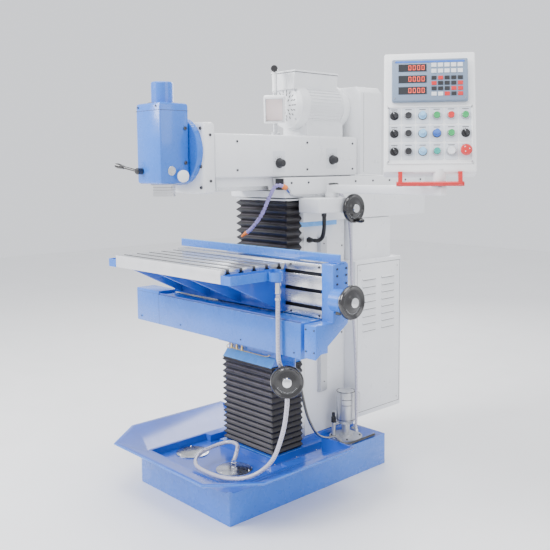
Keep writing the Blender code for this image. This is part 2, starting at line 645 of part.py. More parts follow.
def control_spots():
    """Where each control stands on the panel's face, with its kind and its label."""
    for row, kinds in enumerate(CONTROLS):
        for column, (kind, label) in enumerate(kinds):
            yield ((column - 2.5) * CONTROL_PITCH_X, CONTROL_Z + (1 - row) * CONTROL_PITCH_Z,
                   kind, label)


def make_controls():
    """Three rows of six: each is a button, a knob, a selector or the emergency stop."""
    place = panel_matrix()
    for x, z, kind, label in control_spots():
        at = place @ Matrix.Translation((x, -GAP, z))
        outward = at @ Matrix.Rotation(math.radians(90), 4, "X")
        control = turned(f"{kind}_{label}", SHAPES[kind], BLACK, 20, outward)
        if kind == "selector":
            grip = box("grip", (-0.0035, 0.0035), (-0.020, -0.004), (-0.0125, 0.0125))
            grip.data.transform(at @ Matrix.Rotation(math.radians(-30), 4, "Y"))
            fuse(control, grip)
        set_origin(control, at.translation)


# ---- hoses --------------------------------------------------------------------
def make_hoses():
    tube("upper_hose", [(0.436, -0.328, 0.8945), (0.436, -0.329, 0.80), (0.436, -0.329, 0.68),
                        (0.436, -0.326, 0.645), (0.432, -0.312, 0.620), (0.430, -0.304, 0.6085)],
         0.0085)
    tube("lower_hose", [(0.440, -0.288, 0.5375), (0.441, -0.292, 0.46), (0.430, -0.305, 0.36),
                        (0.395, -0.330, 0.25), (0.330, -0.375, 0.185), (0.235, -0.410, 0.158),
                        (0.120, -0.420, 0.150), (0.020, -0.405, 0.150), (-0.045, -0.345, 0.155),
                        (-0.050, -0.270, 0.170), (-0.005, -0.215, 0.190), (0.055, -0.215, 0.195),
                        (0.086, -0.245, 0.175), (0.090, -0.262, 0.145),
                        (0.090, -0.262, 0.1175)], 0.0085)
    tube("power_cable", [
        (0.452, -0.235, 0.560), (0.452, -0.222, 0.500), (0.440, -0.180, 0.400),
        (0.400, -0.090, 0.300), (0.350, 0.020, 0.242), (0.318, 0.100, 0.220),
        (0.300, 0.155, 0.182), (0.292, 0.205, 0.155), (0.290, 0.260, 0.1475),
        (0.289, 0.330, 0.1470), (0.289, 0.400, 0.1470)], 0.0055, BLACK)


def main():
    clear()
    make_base()
    make_tray_fittings()
    make_column()
    make_guide_housing()
    make_cabinet()
    make_pump()
    make_feed_gearbox()
    bellows("lower_bellows", BELLOWS_X, -0.112, 0.068, DECK_Z + GAP, KNEE_Z0 - GAP, 15, 0.010)
    bellows("upper_bellows", BELLOWS_X, -0.020, 0.068, KNEE_Z1 + GAP, 1.222, 7, 0.014, 0.006)
    make_knee()
    make_vertical_table()
    make_angle_table()
    make_end_trough("right_trough", 1)
    make_end_trough("left_trough", -1)
    make_chip_guard()
    make_apron()
    make_end_bracket()
    make_feed_hub()
    handwheel("x_handwheel", X_WHEEL, (1, 0, 0))
    handwheel("y_handwheel", Y_WHEEL, (1, 0, 0), crank=True)
    handwheel("z_handwheel", Z_WHEEL, (1, -1, 0))
    make_ram()
    make_flange()
    make_rear_cover()
    make_motor()
    selector_knob("speed_knob", -0.035, 1.372)
    selector_knob("gear_knob", 0.285, 1.385)
    make_head()
    make_quill()
    make_spindle()
    make_quill_lever()
    make_lamp()
    make_panel_arm()
    make_panel()
    make_controls()
    make_hoses()


main()
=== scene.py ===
"""Looks for a knee-type tool-room milling machine: paint, ways, bellows, panel, hoses."""
import json
import math

import bmesh
import bpy
from mathutils import Matrix, Vector

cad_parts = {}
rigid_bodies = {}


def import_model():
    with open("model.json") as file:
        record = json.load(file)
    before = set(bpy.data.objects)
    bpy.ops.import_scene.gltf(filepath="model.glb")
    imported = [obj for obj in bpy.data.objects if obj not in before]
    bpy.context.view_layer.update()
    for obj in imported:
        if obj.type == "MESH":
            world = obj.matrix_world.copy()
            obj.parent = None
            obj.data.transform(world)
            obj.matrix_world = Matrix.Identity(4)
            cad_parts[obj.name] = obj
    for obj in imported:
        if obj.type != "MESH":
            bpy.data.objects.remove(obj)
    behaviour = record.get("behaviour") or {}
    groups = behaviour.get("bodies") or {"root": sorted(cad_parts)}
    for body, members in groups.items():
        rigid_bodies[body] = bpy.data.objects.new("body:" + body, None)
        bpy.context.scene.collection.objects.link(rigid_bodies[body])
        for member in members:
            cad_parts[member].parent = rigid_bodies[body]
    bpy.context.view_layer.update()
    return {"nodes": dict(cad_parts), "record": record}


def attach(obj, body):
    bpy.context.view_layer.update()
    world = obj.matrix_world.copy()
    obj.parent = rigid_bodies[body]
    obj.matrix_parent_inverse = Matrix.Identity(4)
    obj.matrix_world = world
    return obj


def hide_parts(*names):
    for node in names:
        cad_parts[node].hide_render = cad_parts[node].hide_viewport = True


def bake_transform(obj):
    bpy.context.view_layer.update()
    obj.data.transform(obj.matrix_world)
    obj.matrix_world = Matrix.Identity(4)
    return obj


for obj in list(bpy.data.objects):
    bpy.data.objects.remove(obj, do_unlink=True)
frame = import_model()
V = Vector


# ---- materials ----------------------------------------------------------------
def nodes_for(name):
    mat = bpy.data.materials.new(name)
    mat.use_nodes = True
    tree = mat.node_tree
    bsdf = tree.nodes["Principled BSDF"]
    coord = tree.nodes.new("ShaderNodeTexCoord")
    return mat, tree, bsdf, coord.outputs["Object"]


def noise(tree, vector, scale, detail=4.0, stretch=None):
    if stretch:
        mapping = tree.nodes.new("ShaderNodeMapping")
        mapping.inputs["Scale"].default_value = stretch
        tree.links.new(vector, mapping.inputs["Vector"])
        vector = mapping.outputs["Vector"]
    tex = tree.nodes.new("ShaderNodeTexNoise")
    tex.inputs["Scale"].default_value = scale
    tex.inputs["Detail"].default_value = detail
    tree.links.new(vector, tex.inputs["Vector"])
    return tex.outputs["Fac"]


def ramp(tree, fac, stops):
    node = tree.nodes.new("ShaderNodeValToRGB")
    node.color_ramp.elements[0].position = stops[0][0]
    node.color_ramp.elements[1].position = stops[-1][0]
    for position, _ in stops[1:-1]:
        node.color_ramp.elements.new(position)
    for element, (position, color) in zip(node.color_ramp.elements, stops):
        element.position = position
        element.color = (*color, 1.0) if len(color) == 3 else color
    tree.links.new(fac, node.inputs["Fac"])
    return node.outputs["Color"]


def bump(tree, bsdf, height, strength, distance):
    node = tree.nodes.new("ShaderNodeBump")
    node.inputs["Strength"].default_value = strength
    node.inputs["Distance"].default_value = distance
    tree.links.new(height, node.inputs["Height"])
    tree.links.new(node.outputs["Normal"], bsdf.inputs["Normal"])


def gray(v):
    return (v, v, v)


def surface(name, color, rough=0.4, metal=0.0, coat=0.0, vary=0.08, scale=6.0,
            grain=900.0, depth=0.00008, strength=0.25, stretch=None, spec=0.5):
    """A painted, moulded or ground surface: mottled colour, uneven gloss, fine grain."""
    mat, tree, bsdf, vector = nodes_for(name)
    cloud = noise(tree, vector, scale, 6.0)
    dark = tuple(c * (1 - vary) for c in color)
    light = tuple(min(1.0, c * (1 + vary)) for c in color)
    tree.links.new(ramp(tree, cloud, [(0.3, dark), (0.7, light)]), bsdf.inputs["Base Color"])
    patch = noise(tree, vector, scale * 4.3, 5.0, stretch)
    span = 0.25 * rough
    tree.links.new(ramp(tree, patch, [(0.3, gray(rough - span)), (0.7, gray(rough + span))]),
                   bsdf.inputs["Roughness"])
    bsdf.inputs["Metallic"].default_value = metal
    bsdf.inputs["Coat Weight"].default_value = coat
    bsdf.inputs["Coat Roughness"].default_value = 0.12
    bsdf.inputs["Specular IOR Level"].default_value = spec
    bump(tree, bsdf, noise(tree, vector, grain, 2.0, stretch), strength, depth)
    return mat


BLUE = surface("blue_enamel", (0.030, 0.170, 0.66), 0.28, coat=0.35, vary=0.07, grain=420)
TRAY = surface("tray_enamel", (0.022, 0.100, 0.52), 0.20, coat=0.5, vary=0.10, grain=260)
SKY = surface("blue_edge", (0.13, 0.42, 0.88), 0.30, coat=0.3, grain=420)
WHITE = surface("white_enamel", (0.84, 0.85, 0.865), 0.34, coat=0.25, vary=0.03, grain=420)
PALE = surface("pale_panel", (0.86, 0.865, 0.87), 0.42, vary=0.03, grain=700)
GROUND = surface("ground_iron", (0.66, 0.67, 0.69), 0.27, metal=0.9, vary=0.08, grain=60,
                 stretch=(1, 26, 26), depth=0.00015)
EDGE = surface("milled_edge", (0.74, 0.74, 0.76), 0.40, metal=0.35, vary=0.04, grain=400)
SLOT = surface("slot_shadow", (0.10, 0.10, 0.11), 0.55, metal=0.6, grain=300)
STEEL = surface("turned_steel", (0.60, 0.61, 0.63), 0.26, metal=1.0, vary=0.06, grain=700)
CHROME = surface("bright_steel", (0.78, 0.78, 0.79), 0.12, metal=1.0, vary=0.03, grain=300)
ALLOY = surface("cast_alloy", (0.62, 0.63, 0.65), 0.36, metal=0.75, vary=0.06, grain=350,
                depth=0.0002)
BLACK = surface("black_phenolic", (0.012, 0.011, 0.012), 0.16, coat=0.6, vary=0.3, grain=200)
RUBBER = surface("folded_rubber", (0.016, 0.014, 0.017), 0.40, vary=0.2, grain=500,
                 strength=0.4, depth=0.0002)
# Lighter strip for the upward-facing side of each bellows pleat: a painted highlight standing in
# for light from above.
PLEAT_HIGHLIGHT = surface("painted_pleat_highlight", (0.085, 0.075, 0.090), 0.36, vary=0.15, grain=500, strength=0.4)
DARK = surface("dark_plastic", (0.022, 0.022, 0.025), 0.38, vary=0.2, grain=600)
BRASS = surface("brass_fitting", (0.72, 0.52, 0.22), 0.28, metal=1.0, grain=500)
RED = surface("red_plastic", (0.62, 0.018, 0.02), 0.24, coat=0.5, grain=400)
GREEN = surface("green_plastic", (0.02, 0.36, 0.10), 0.26, coat=0.4, grain=400)
TEAL = surface("teal_plastic", (0.02, 0.36, 0.30), 0.26, coat=0.4, grain=400)
KEY = surface("light_key", (0.74, 0.76, 0.79), 0.40, grain=500)
KNOB = surface("light_blue_knob", (0.30, 0.58, 0.84), 0.28, coat=0.3, grain=400)
DEEP = surface("deep_blue_knob", (0.05, 0.16, 0.58), 0.26, coat=0.3, grain=400)
READOUT = surface("readout_case", (0.20, 0.265, 0.37), 0.42, vary=0.05, grain=900)
GLASS = surface("dark_window", (0.012, 0.014, 0.018), 0.08, coat=0.8, grain=100, depth=0.00002)
ORANGE = surface("orange_nozzle", (0.86, 0.22, 0.03), 0.32, coat=0.2, grain=400)
PURPLE = surface("segment_hose", (0.33, 0.28, 0.62), 0.34, coat=0.2, vary=0.10, grain=400)
LENS = surface("lamp_lens", (0.92, 0.78, 0.76), 0.22, coat=0.5, vary=0.04, grain=300)


def lit(name, color, power):
    mat = surface(name, color, 0.4, grain=400)
    bsdf = mat.node_tree.nodes["Principled BSDF"]
    bsdf.inputs["Emission Color"].default_value = (*color, 1.0)
    bsdf.inputs["Emission Strength"].default_value = power
    return mat


DIGIT = lit("readout_digit", (1.0, 0.10, 0.05), 1.5)


def braided():
    """Clear hose: a pale tube with a crossed textile braid under it."""
    mat, tree, bsdf, vector = nodes_for("braided_hose")
    waves = []
    for turn in (0.9, -0.9):
        mapping = tree.nodes.new("ShaderNodeMapping")
        mapping.inputs["Rotation"].default_value = (0.4, turn, 0.3)
        tree.links.new(vector, mapping.inputs["Vector"])
        wave = tree.nodes.new("ShaderNodeTexWave")
        wave.inputs["Scale"].default_value = 95.0
        wave.inputs["Distortion"].default_value = 1.5
        tree.links.new(mapping.outputs["Vector"], wave.inputs["Vector"])
        waves.append(wave.outputs["Fac"])
    mix = tree.nodes.new("ShaderNodeMath")
    mix.operation = "MULTIPLY"
    tree.links.new(waves[0], mix.inputs[0])
    tree.links.new(waves[1], mix.inputs[1])
    color = ramp(tree, mix.outputs[0], [(0.05, (0.30, 0.28, 0.36)), (0.5, (0.76, 0.75, 0.83))])
    tree.links.new(color, bsdf.inputs["Base Color"])
    bsdf.inputs["Roughness"].default_value = 0.18
    bsdf.inputs["Coat Weight"].default_value = 0.8
    bump(tree, bsdf, mix.outputs[0], 0.4, 0.0004)
    return mat


HOSE = braided()

LOOKS = {
    "base_tank": TRAY, "knee": BLUE, "right_trough": BLUE, "left_trough": BLUE,
    "chip_guard": BLUE, "apron_beam": BLUE, "end_bracket": BLUE, "head_housing": BLUE,
    "guide_housing": WHITE, "column": WHITE, "electric_cabinet": WHITE, "ram": WHITE,
    "swivel_flange": WHITE, "belt_cover": WHITE, "drive_motor": WHITE, "feed_gearbox": WHITE,
    "panel_arm": WHITE, "panel_box": PALE, "vertical_table": GROUND, "angle_table": GROUND,
    "suction_cover": STEEL, "drain_cover": STEEL, "x_feed_hub": STEEL, "quill": CHROME,
    "spindle": CHROME, "lamp_mast": ALLOY, "panel_handle": RED, "coolant_pump": ALLOY,
    "speed_knob": DARK, "gear_knob": DARK, "quill_lever": BLACK, "readout": READOUT,
    "lamp_arm": PALE, "lamp_head": PALE, "x_handwheel": BLACK, "y_handwheel": BLACK,
    "z_handwheel": BLACK, "lower_bellows": RUBBER, "upper_bellows": RUBBER,
    "lower_hose": HOSE, "power_cable": BLACK, "upper_hose": HOSE,
    "button_coolant": DARK, "button_lubricate": DARK, "button_clamp": DARK,
    "button_start": GREEN, "button_halt": RED, "button_cycle": GREEN,
    "button_spindle_on": GREEN, "button_reset": TEAL, "big_brake": KEY,
    "stop_emergency": RED, "knob_speed": KNOB, "knob_feed": KNOB, "knob_jog": KNOB,
    "knob_rapid": DEEP, "selector_door_mode": DARK, "selector_lamp_switch": DARK,
    "selector_power": DARK, "selector_axis": DARK,
}
EDGES = {"knee": 2.5, "apron_beam": 1, "chip_guard": 1, "base_tank": 2, "angle_table": 0.7,
         "vertical_table": 0.7, "column": 0, "lamp_head": 0, "panel_arm": 0}

SLOT_ROWS = [-0.36715 + 0.063 * k for k in range(-2, 3)]
SLOT_LEVELS = [0.837 + 0.063 * k for k in range(3)]


def in_table_slot(at, normal):
    inside = any(abs(at.y - row) < 0.0125 for row in SLOT_ROWS)
    return inside and 0.955 < at.z < 0.9925 and abs(at.x) < 0.3495


def in_face_slot(at, normal):
    inside = any(abs(at.z - level) < 0.0125 for level in SLOT_LEVELS)
    return inside and at.y > -0.2065 and at.x < 0.5495


second = {
    "angle_table": [(TRAY, lambda at, normal: at.z < 0.9425),
                    (EDGE, lambda at, normal: at.y < -0.5265 and at.z > 0.9425),
                    (SLOT, in_table_slot)],
    "vertical_table": [(SLOT, in_face_slot)],
    "swivel_flange": [(BLUE, lambda at, normal: at.y < -0.4255)],
    "base_tank": [(BLUE, lambda at, normal: at.z < 0.142 and max(abs(at.x) / 0.2995,
                   abs(at.y) / 0.4595) > 1 or at.z < 0.1)],
}
for name, node in frame["nodes"].items():
    node.data.materials.clear()
    node.data.materials.append(LOOKS[name])
    for look, chosen in second.get(name, ()):
        node.data.materials.append(look)
        for face in node.data.polygons:
            if chosen(node.matrix_world @ face.center, face.normal):
                face.material_index = len(node.data.materials) - 1
    weld = node.modifiers.new("weld", "WELD")
    weld.merge_threshold = 0.00002
    if EDGES.get(name):
        soft = node.modifiers.new("soft_edges", "BEVEL")
        soft.width, soft.segments = EDGES[name] / 1000, 2
        soft.limit_method, soft.angle_limit = "ANGLE", math.radians(40)
    split = node.modifiers.new("split", "EDGE_SPLIT")
    split.split_angle = math.radians(34)
    node.data.shade_smooth()


# ---- geometry helpers ---------------------------------------------------------
def along(point, direction):
    turn = V(direction).to_track_quat("Z", "Y").to_matrix().to_4x4()
    return Matrix.Translation(V(point)) @ turn


class Piece:
    """Gathers shapes of one material on one body into a single mesh."""

    def __init__(self, name, body, look, edge=0.0, slot=None):
        self.name, self.body, self.look, self.edge = name, body, look, edge
        self.slot, self.bm = slot, bmesh.new()

    def loft(self, rings, closed=False, matrix=None):
        rows = []
        for ring in rings:
            points = [matrix @ V(p) if matrix else V(p) for p in ring]
            rows.append([self.bm.verts.new(p) for p in points])
        pairs = list(zip(rows, rows[1:])) + ([(rows[-1], rows[0])] if closed else [])
        for low, high in pairs:
            count = max(len(low), len(high))
            for k in range(count):
                j = (k + 1) % count
                corners = [low[k % len(low)], low[j % len(low)],
                           high[j % len(high)], high[k % len(high)]]
                corners = [v for i, v in enumerate(corners) if v not in corners[:i]]
                if len(corners) > 2:
                    self.bm.faces.new(corners)
        if not closed:
            for ring in (rows[0][::-1], rows[-1]):
                if len(ring) > 2:
                    self.bm.faces.new(ring)
        return self

    def box(self, lo, hi, matrix=None):
        (a, b, c), (d, e, f) = lo, hi
        return self.loft([[(a, b, z), (d, b, z), (d, e, z), (a, e, z)] for z in (c, f)],
                         matrix=matrix)

    def prism(self, outline, depth, matrix):
        return self.loft([[(x, y, z) for x, y in outline] for z in depth], matrix=matrix)

    def turned(self, profile, matrix, sides=40):
        rings = []
        for r, z in profile:
            if r < 1e-9:
                rings.append([(0, 0, z)])
            else:
                rings.append([(r * math.cos(a), r * math.sin(a), z) for a in
                              (2 * math.pi * (k + 0.5) / sides for k in range(sides))])
        return self.loft(rings, closed=len(rings[0]) > 1, matrix=matrix)

    def rod(self, radius, start, end, sides=20, ease=0.0):
        length = (V(end) - V(start)).length
        e = min(ease, radius * 0.8, length * 0.4)
        profile = [(0, 0), (radius - e, 0), (radius, e), (radius, length - e),
                   (radius - e, length), (0, length)]
        return self.turned(profile, along(start, V(end) - V(start)), sides)

    def tube(self, path, radius, sides=14, radii=None):
        rings = []
        normal = V((0.1, 0.97, 0.2)).normalized()
        for i, point in enumerate(path):
            ahead = (path[min(i + 1, len(path) - 1)] - path[max(i - 1, 0)]).normalized()
            normal = (normal - ahead * normal.dot(ahead)).normalized()
            side = ahead.cross(normal)
            r = radii[i] if radii else radius
            rings.append([point + r * (math.cos(a) * normal + math.sin(a) * side)
                          for a in (2 * math.pi * k / sides for k in range(sides))])
        return self.loft(rings)

    def screw(self, point, direction, radius, height=None):
        """A socket cap screw with a shallow round recess."""
        h = height or radius * 0.8
        place = along(point, direction)
        outer = [(0, -0.0005), (radius, -0.0005), (radius, h * 0.75), (radius * 0.86, h),
                 (radius * 0.56, h)]
        self.turned(outer + [(radius * 0.5, h * 0.35), (0, h * 0.3)], place, 18)
        return self

    def done(self):
        bmesh.ops.recalc_face_normals(self.bm, faces=self.bm.faces)
        mesh = bpy.data.meshes.new(self.name)
        self.bm.to_mesh(mesh)
        self.bm.free()
        mesh.materials.append(self.look)
        mesh.shade_smooth()
        mesh.set_sharp_from_angle(angle=math.radians(34))
        piece = bpy.data.objects.new(self.name, mesh)
        bpy.context.scene.collection.objects.link(piece)
        if self.edge:
            soft = piece.modifiers.new("soft_edges", "BEVEL")
            soft.width, soft.segments = self.edge, 2
            soft.limit_method, soft.angle_limit = "ANGLE", math.radians(40)
            soft.harden_normals = True
        if self.body:
            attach(piece, self.body)
        return piece


def smooth_path(points, steps=6):
    points = [V(p) for p in points]
    ends = [2 * points[0] - points[1]] + points + [2 * points[-1] - points[-2]]
    found = []
    for a, b, c, d in zip(ends, ends[1:], ends[2:], ends[3:]):
        for k in range(steps):
            t = k / steps
            found.append(0.5 * (2 * b + (c - a) * t + (2 * a - 5 * b + 4 * c - d) * t * t
                                + (3 * b - 3 * c + d - a) * t ** 3))
    return found + [points[-1]]


def length_of(path):
    return sum((b - a).length for a, b in zip(path, path[1:]))


# ---- camera, floor and light --------------------------------------------------
def make_stage():
    yaw, pitch, roll = math.radians(47.2), math.radians(6.0), math.radians(-0.5)
    ahead = V((-math.sin(yaw) * math.cos(pitch), math.cos(yaw) * math.cos(pitch),
               -math.sin(pitch)))
    right = V((math.cos(yaw), math.sin(yaw), 0))
    up = right.cross(ahead)
    right, up = (math.cos(roll) * right + math.sin(roll) * up,
                 -math.sin(roll) * right + math.cos(roll) * up)
    data = bpy.data.cameras.new("view")
    data.sensor_width, data.lens, data.shift_y = 36.0, 50.4, -0.0509
    camera = bpy.data.objects.new("view", data)
    rows = [[right[i], up[i], -ahead[i], (2.470, -2.224, 1.36)[i]] for i in range(3)]
    camera.matrix_world = Matrix(rows + [[0, 0, 0, 1]])
    bpy.context.scene.collection.objects.link(camera)
    bpy.context.scene.camera = camera

    floor = Piece("floor", None, surface("pale_floor", (0.90, 0.90, 0.90), 0.45, vary=0.015,
                                         scale=1.2, grain=120, depth=0.00004))
    floor.box((-9, -9, -0.02), (9, 9, -0.0002))
    floor.done()

    world = bpy.data.worlds.new("studio")
    world.use_nodes = True
    back = world.node_tree.nodes["Background"]
    back.inputs["Color"].default_value = (0.93, 0.95, 1.0, 1.0)
    back.inputs["Strength"].default_value = 1.25
    bpy.context.scene.world = world
    for name, place, aim, size, power in (
            ("key", (-1.6, -3.6, 3.3), (0, 0, 0.9), 2.0, 260),
            ("fill", (3.6, 0.4, 2.6), (0.2, 0, 0.9), 2.4, 40),
            ("top", (0.2, -0.4, 4.2), (0, 0, 0.4), 2.6, 110),
            ("back", (-2.2, 3.0, 2.6), (0, 0, 1.0), 2.0, 60)):
        light = bpy.data.lights.new(name, "AREA")
        light.energy, light.size = power, size
        lamp = bpy.data.objects.new(name, light)
        lamp.location = place
        lamp.rotation_mode = "QUATERNION"
        lamp.rotation_quaternion = (V(aim) - V(place)).to_track_quat("-Z", "Y")
        bpy.context.scene.collection.objects.link(lamp)


# ---- base, tray and column ----------------------------------------------------
def make_tray():
    rim = Piece("tray_rim", "base", BLUE, 0.001, "blue_paint")
    x, front, rear = 0.437, -0.584, 0.10
    line = [V((x, rear, 0)), V((x, -0.409, 0)), V((0.298, front, 0)), V((-0.298, front, 0)),
            V((-x, -0.409, 0)), V((-x, rear, 0))]
    rings = []
    for i, p in enumerate(line):
        a = (line[i] - line[max(i - 1, 0)]).normalized() if i else V((0, -1, 0))
        b = (line[min(i + 1, 5)] - line[i]).normalized() if i < 5 else V((0, 1, 0))
        out = (V((a.y, -a.x, 0)) * -1 + V((b.y, -b.x, 0)) * -1)
        out = out.normalized() * -1 / max(0.5, math.cos(a.angle(b) / 2))
        rings.append([p + out * 0.002 + V((0, 0, 0.190)), p + out * 0.002 + V((0, 0, 0.2038)),
                      p - out * 0.009 + V((0, 0, 0.2038)), p - out * 0.009 + V((0, 0, 0.199))])
    rim.loft(rings)
    rim.done()
    ledge = Piece("tray_ledge", "base", SKY, 0.0006, "blue_paint")
    ledge.box((-0.165, -0.1175, 0.132), (0.165, -0.1135, 0.1402))
    ledge.box((0.1655, -0.110, 0.1385), (0.1675, 0.06, 0.1402))
    ledge.done()

    bolts = Piece("tray_screws", "base", CHROME, 0, "ground_steel")
    for cx, cy, r in ((0.09, -0.262, 0.067), (-0.185, -0.27, 0.063)):
        for k in range(3):
            a = 2.1 * k + 0.5
            bolts.screw((cx + r * math.cos(a), cy + r * math.sin(a), 0.1141), (0, 0, 1), 0.0035)
    for x in (0.1725, 0.232):
        for y in (-0.13, 0.0, 0.12):
            bolts.screw((x, y + 0.02, 0.1105), (0, 0, 1), 0.003)
    bolts.done()

    holes = Piece("drain_perforation", "base", SLOT, 0, "ground_steel")
    for row in range(-6, 7):
        for col in range(-6, 7):
            px, py = 0.0092 * (col + 0.5 * (row % 2)), 0.008 * row
            if px * px + py * py < 0.056 ** 2:
                holes.turned([(0, 0), (0.0027, 0), (0.0027, 0.0003), (0, 0.0003)],
                             Matrix.Translation((-0.185 + px, -0.27 + py, 0.1142)), 8)
    holes.done()

    grate = Piece("side_grate", "base", STEEL, 0.0004, "ground_steel")
    y0, y1 = -0.045, 0.165
    outline = [(0.203 + 0.022 * math.cos(a), (y1 if math.sin(a) >= 0 else y0)
                + 0.022 * math.sin(a)) for a in (math.tau * k / 24 for k in range(24))]
    grate.prism(outline, (0.1103, 0.1125), Matrix.Identity(4))
    grate.done()
    slots = Piece("grate_slots", "base", SLOT, 0, "ground_steel")
    for k in range(21):
        y = y0 - 0.004 + 0.0072 * k
        slots.box((0.187, y, 0.1126), (0.219, y + 0.0034, 0.1129))
    slots.done()

    fitting = Piece("hose_fitting", "base", CHROME, 0.0003, "ground_steel")
    fitting.turned([(0, 0), (0.013, 0), (0.013, 0.007), (0.0075, 0.009), (0.0075, 0.014),
                    (0.0112, 0.015), (0.0112, 0.026), (0.0095, 0.028), (0, 0.028)],
                   Matrix.Translation((0.090, -0.262, 0.1142)), 6)
    fitting.turned([(0.0087, 0.030), (0.0102, 0.030), (0.0102, 0.040), (0.0087, 0.040)],
                   Matrix.Translation((0.090, -0.262, 0.1142)), 24)
    fitting.done()


def make_pump_details():
    at = V((0.205, 0.300, 0))
    bolts = Piece("pump_bolts", "base", SLOT, 0, "ground_steel")
    for k in range(4):
        a = math.radians(47 + 90 * k)
        bolts.screw(at + V((0.063 * math.cos(a), 0.063 * math.sin(a), 0.1474)), (0, 0, 1), 0.0045)
    bolts.done()
    bands = Piece("pump_plate", "base", SLOT, 0, "ground_steel")
    rings = []
    for z0, z1 in ((0.318, 0.3205), (0.293, 0.2955)):
        for a0, a1 in ((-1.25, -0.2),):
            line = [a0 + (a1 - a0) * k / 10 for k in range(11)]
            rings.append([[at + V((r * math.cos(a), r * math.sin(a), z)) for r, z in (
                (0.0421, z0), (0.0428, z0), (0.0428, z1), (0.0421, z1))] for a in line])
    for ring in rings:
        bands.loft(ring)
    bands.done()
    box = Piece("pump_terminal", "base", ALLOY, 0.003, "alloy")
    box.box((-0.026, 0.036, 0.262), (0.026, 0.060, 0.345),
            Matrix.Translation(at) @ Matrix.Rotation(math.radians(-25), 4, "Z"))
    box.done()
    seam = Piece("pump_seams", "base", DARK, 0, "black_gloss")
    for z in (0.2245, 0.352):
        seam.turned([(0.0405, z), (0.0424, z), (0.0424, z + 0.0022), (0.0405, z + 0.0022)],
                    Matrix.Translation(at), 40)
    seam.rod(0.011, (0.165, 0.262, 0.206), (0.165, 0.262, 0.232), 12, 0.002)
    seam.rod(0.007, (0.165, 0.262, 0.232), (0.165, 0.262, 0.252), 12, 0.001)
    seam.done()


def make_column_details():
    x = 0.125
    strip = Piece("scale_cover", "base", ALLOY, 0.0015, "alloy")
    strip.box((x - 0.001, 0.200, 0.36), (x + 0.022, 0.240, 1.05))
    strip.box((x - 0.001, 0.196, 0.352), (x + 0.012, 0.244, 0.362))
    strip.done()
    screws = Piece("column_screws", "base", SLOT, 0, "ground_steel")
    for z in (0.40, 0.62, 0.84, 1.02):
        screws.screw((x + 0.022, 0.220, z), (1, 0, 0), 0.0028)
    for z in (0.22, 0.60, 1.00):
        for y in (0.09, 0.36):
            screws.screw((x, y, z), (1, 0, 0), 0.0035)
    screws.done()
    rail = Piece("column_ways", "base", GROUND, 0.0008, "cast_ways")
    for s in (-1, 1):
        lo, hi = sorted((s * 0.118, s * 0.139))
        rail.box((lo, 0.0695, 0.17), (hi, 0.105, 1.121))
    rail.done()
    gland = Piece("column_gland", "base", DARK, 0.0005, "black_gloss")
    gland.rod(0.013, (x - 0.002, 0.145, 1.04), (x + 0.012, 0.145, 1.04), 6)
    gland.rod(0.010, (x + 0.012, 0.145, 1.04), (x + 0.024, 0.145, 1.04), 20, 0.002)
    gland.done()


def make_cabinet_details():
    louvres = Piece("cabinet_louvres", "base", WHITE, 0.0006, "white_paint")
    shade = Piece("louvre_mouths", "base", SLOT, 0, "black_gloss")
    for side in (-1, 1):
        for column in range(2):
            for k in range(8):
                y = 0.425 + 0.135 * column
                z = 0.60 + 0.034 * k
                face = side * 0.1901
                lip = side * 0.1885
                louvres.loft([[(lip, y, z + 0.012), (face + side * 0.005, y + 0.004, z + 0.004),
                               (face + side * 0.005, y + 0.004, z), (lip, y, z)],
                              [(lip, y + 0.10, z + 0.012),
                               (face + side * 0.005, y + 0.096, z + 0.004),
                               (face + side * 0.005, y + 0.096, z), (lip, y + 0.10, z)]])
                a, b = sorted((face, face + side * 0.0044))
                shade.box((a, y + 0.006, z - 0.0022), (b, y + 0.094, z - 0.0003))
    louvres.done()
    shade.done()
    seams = Piece("cabinet_seams", "base", SLOT, 0, "black_gloss")
    for side in (-1, 1):
        a, b = sorted((side * 0.1898, side * 0.1904))
        seams.box((a, 0.392, 0.222), (b, 0.394, 0.912))
        seams.box((a, 0.700, 0.222), (b, 0.702, 0.912))
        seams.box((a, 0.392, 0.910), (b, 0.702, 0.912))
        seams.box((a, 0.392, 0.222), (b, 0.702, 0.224))
    seams.box((-0.17, 0.7118, 0.222), (0.17, 0.7122, 0.224))
    seams.box((-0.17, 0.7118, 0.906), (0.17, 0.7122, 0.908))
    for x in (-0.17, 0.168):
        seams.box((x, 0.7118, 0.222), (x + 0.002, 0.7122, 0.908))
    seams.done()
    lock = Piece("cabinet_lock", "base", CHROME, 0.0004, "ground_steel")
    lock.rod(0.012, (-0.145, 0.711, 0.56), (-0.145, 0.717, 0.56), 24, 0.002)
    for z in (0.30, 0.82):
        lock.rod(0.006, (0.176, 0.714, z), (0.176, 0.714, z + 0.06), 14, 0.001)
    for y in (0.41, 0.68):
        lock.screw((0.1902, y, 0.245), (1, 0, 0), 0.004)
        lock.screw((0.1902, y, 0.885), (1, 0, 0), 0.004)
    lock.done()
    floor_plate = Piece("cabinet_floor", "base", WHITE, 0.001, "white_paint")
    floor_plate.box((-0.186, 0.384, 0.2015), (0.186, 0.708, 0.206))
    floor_plate.done()


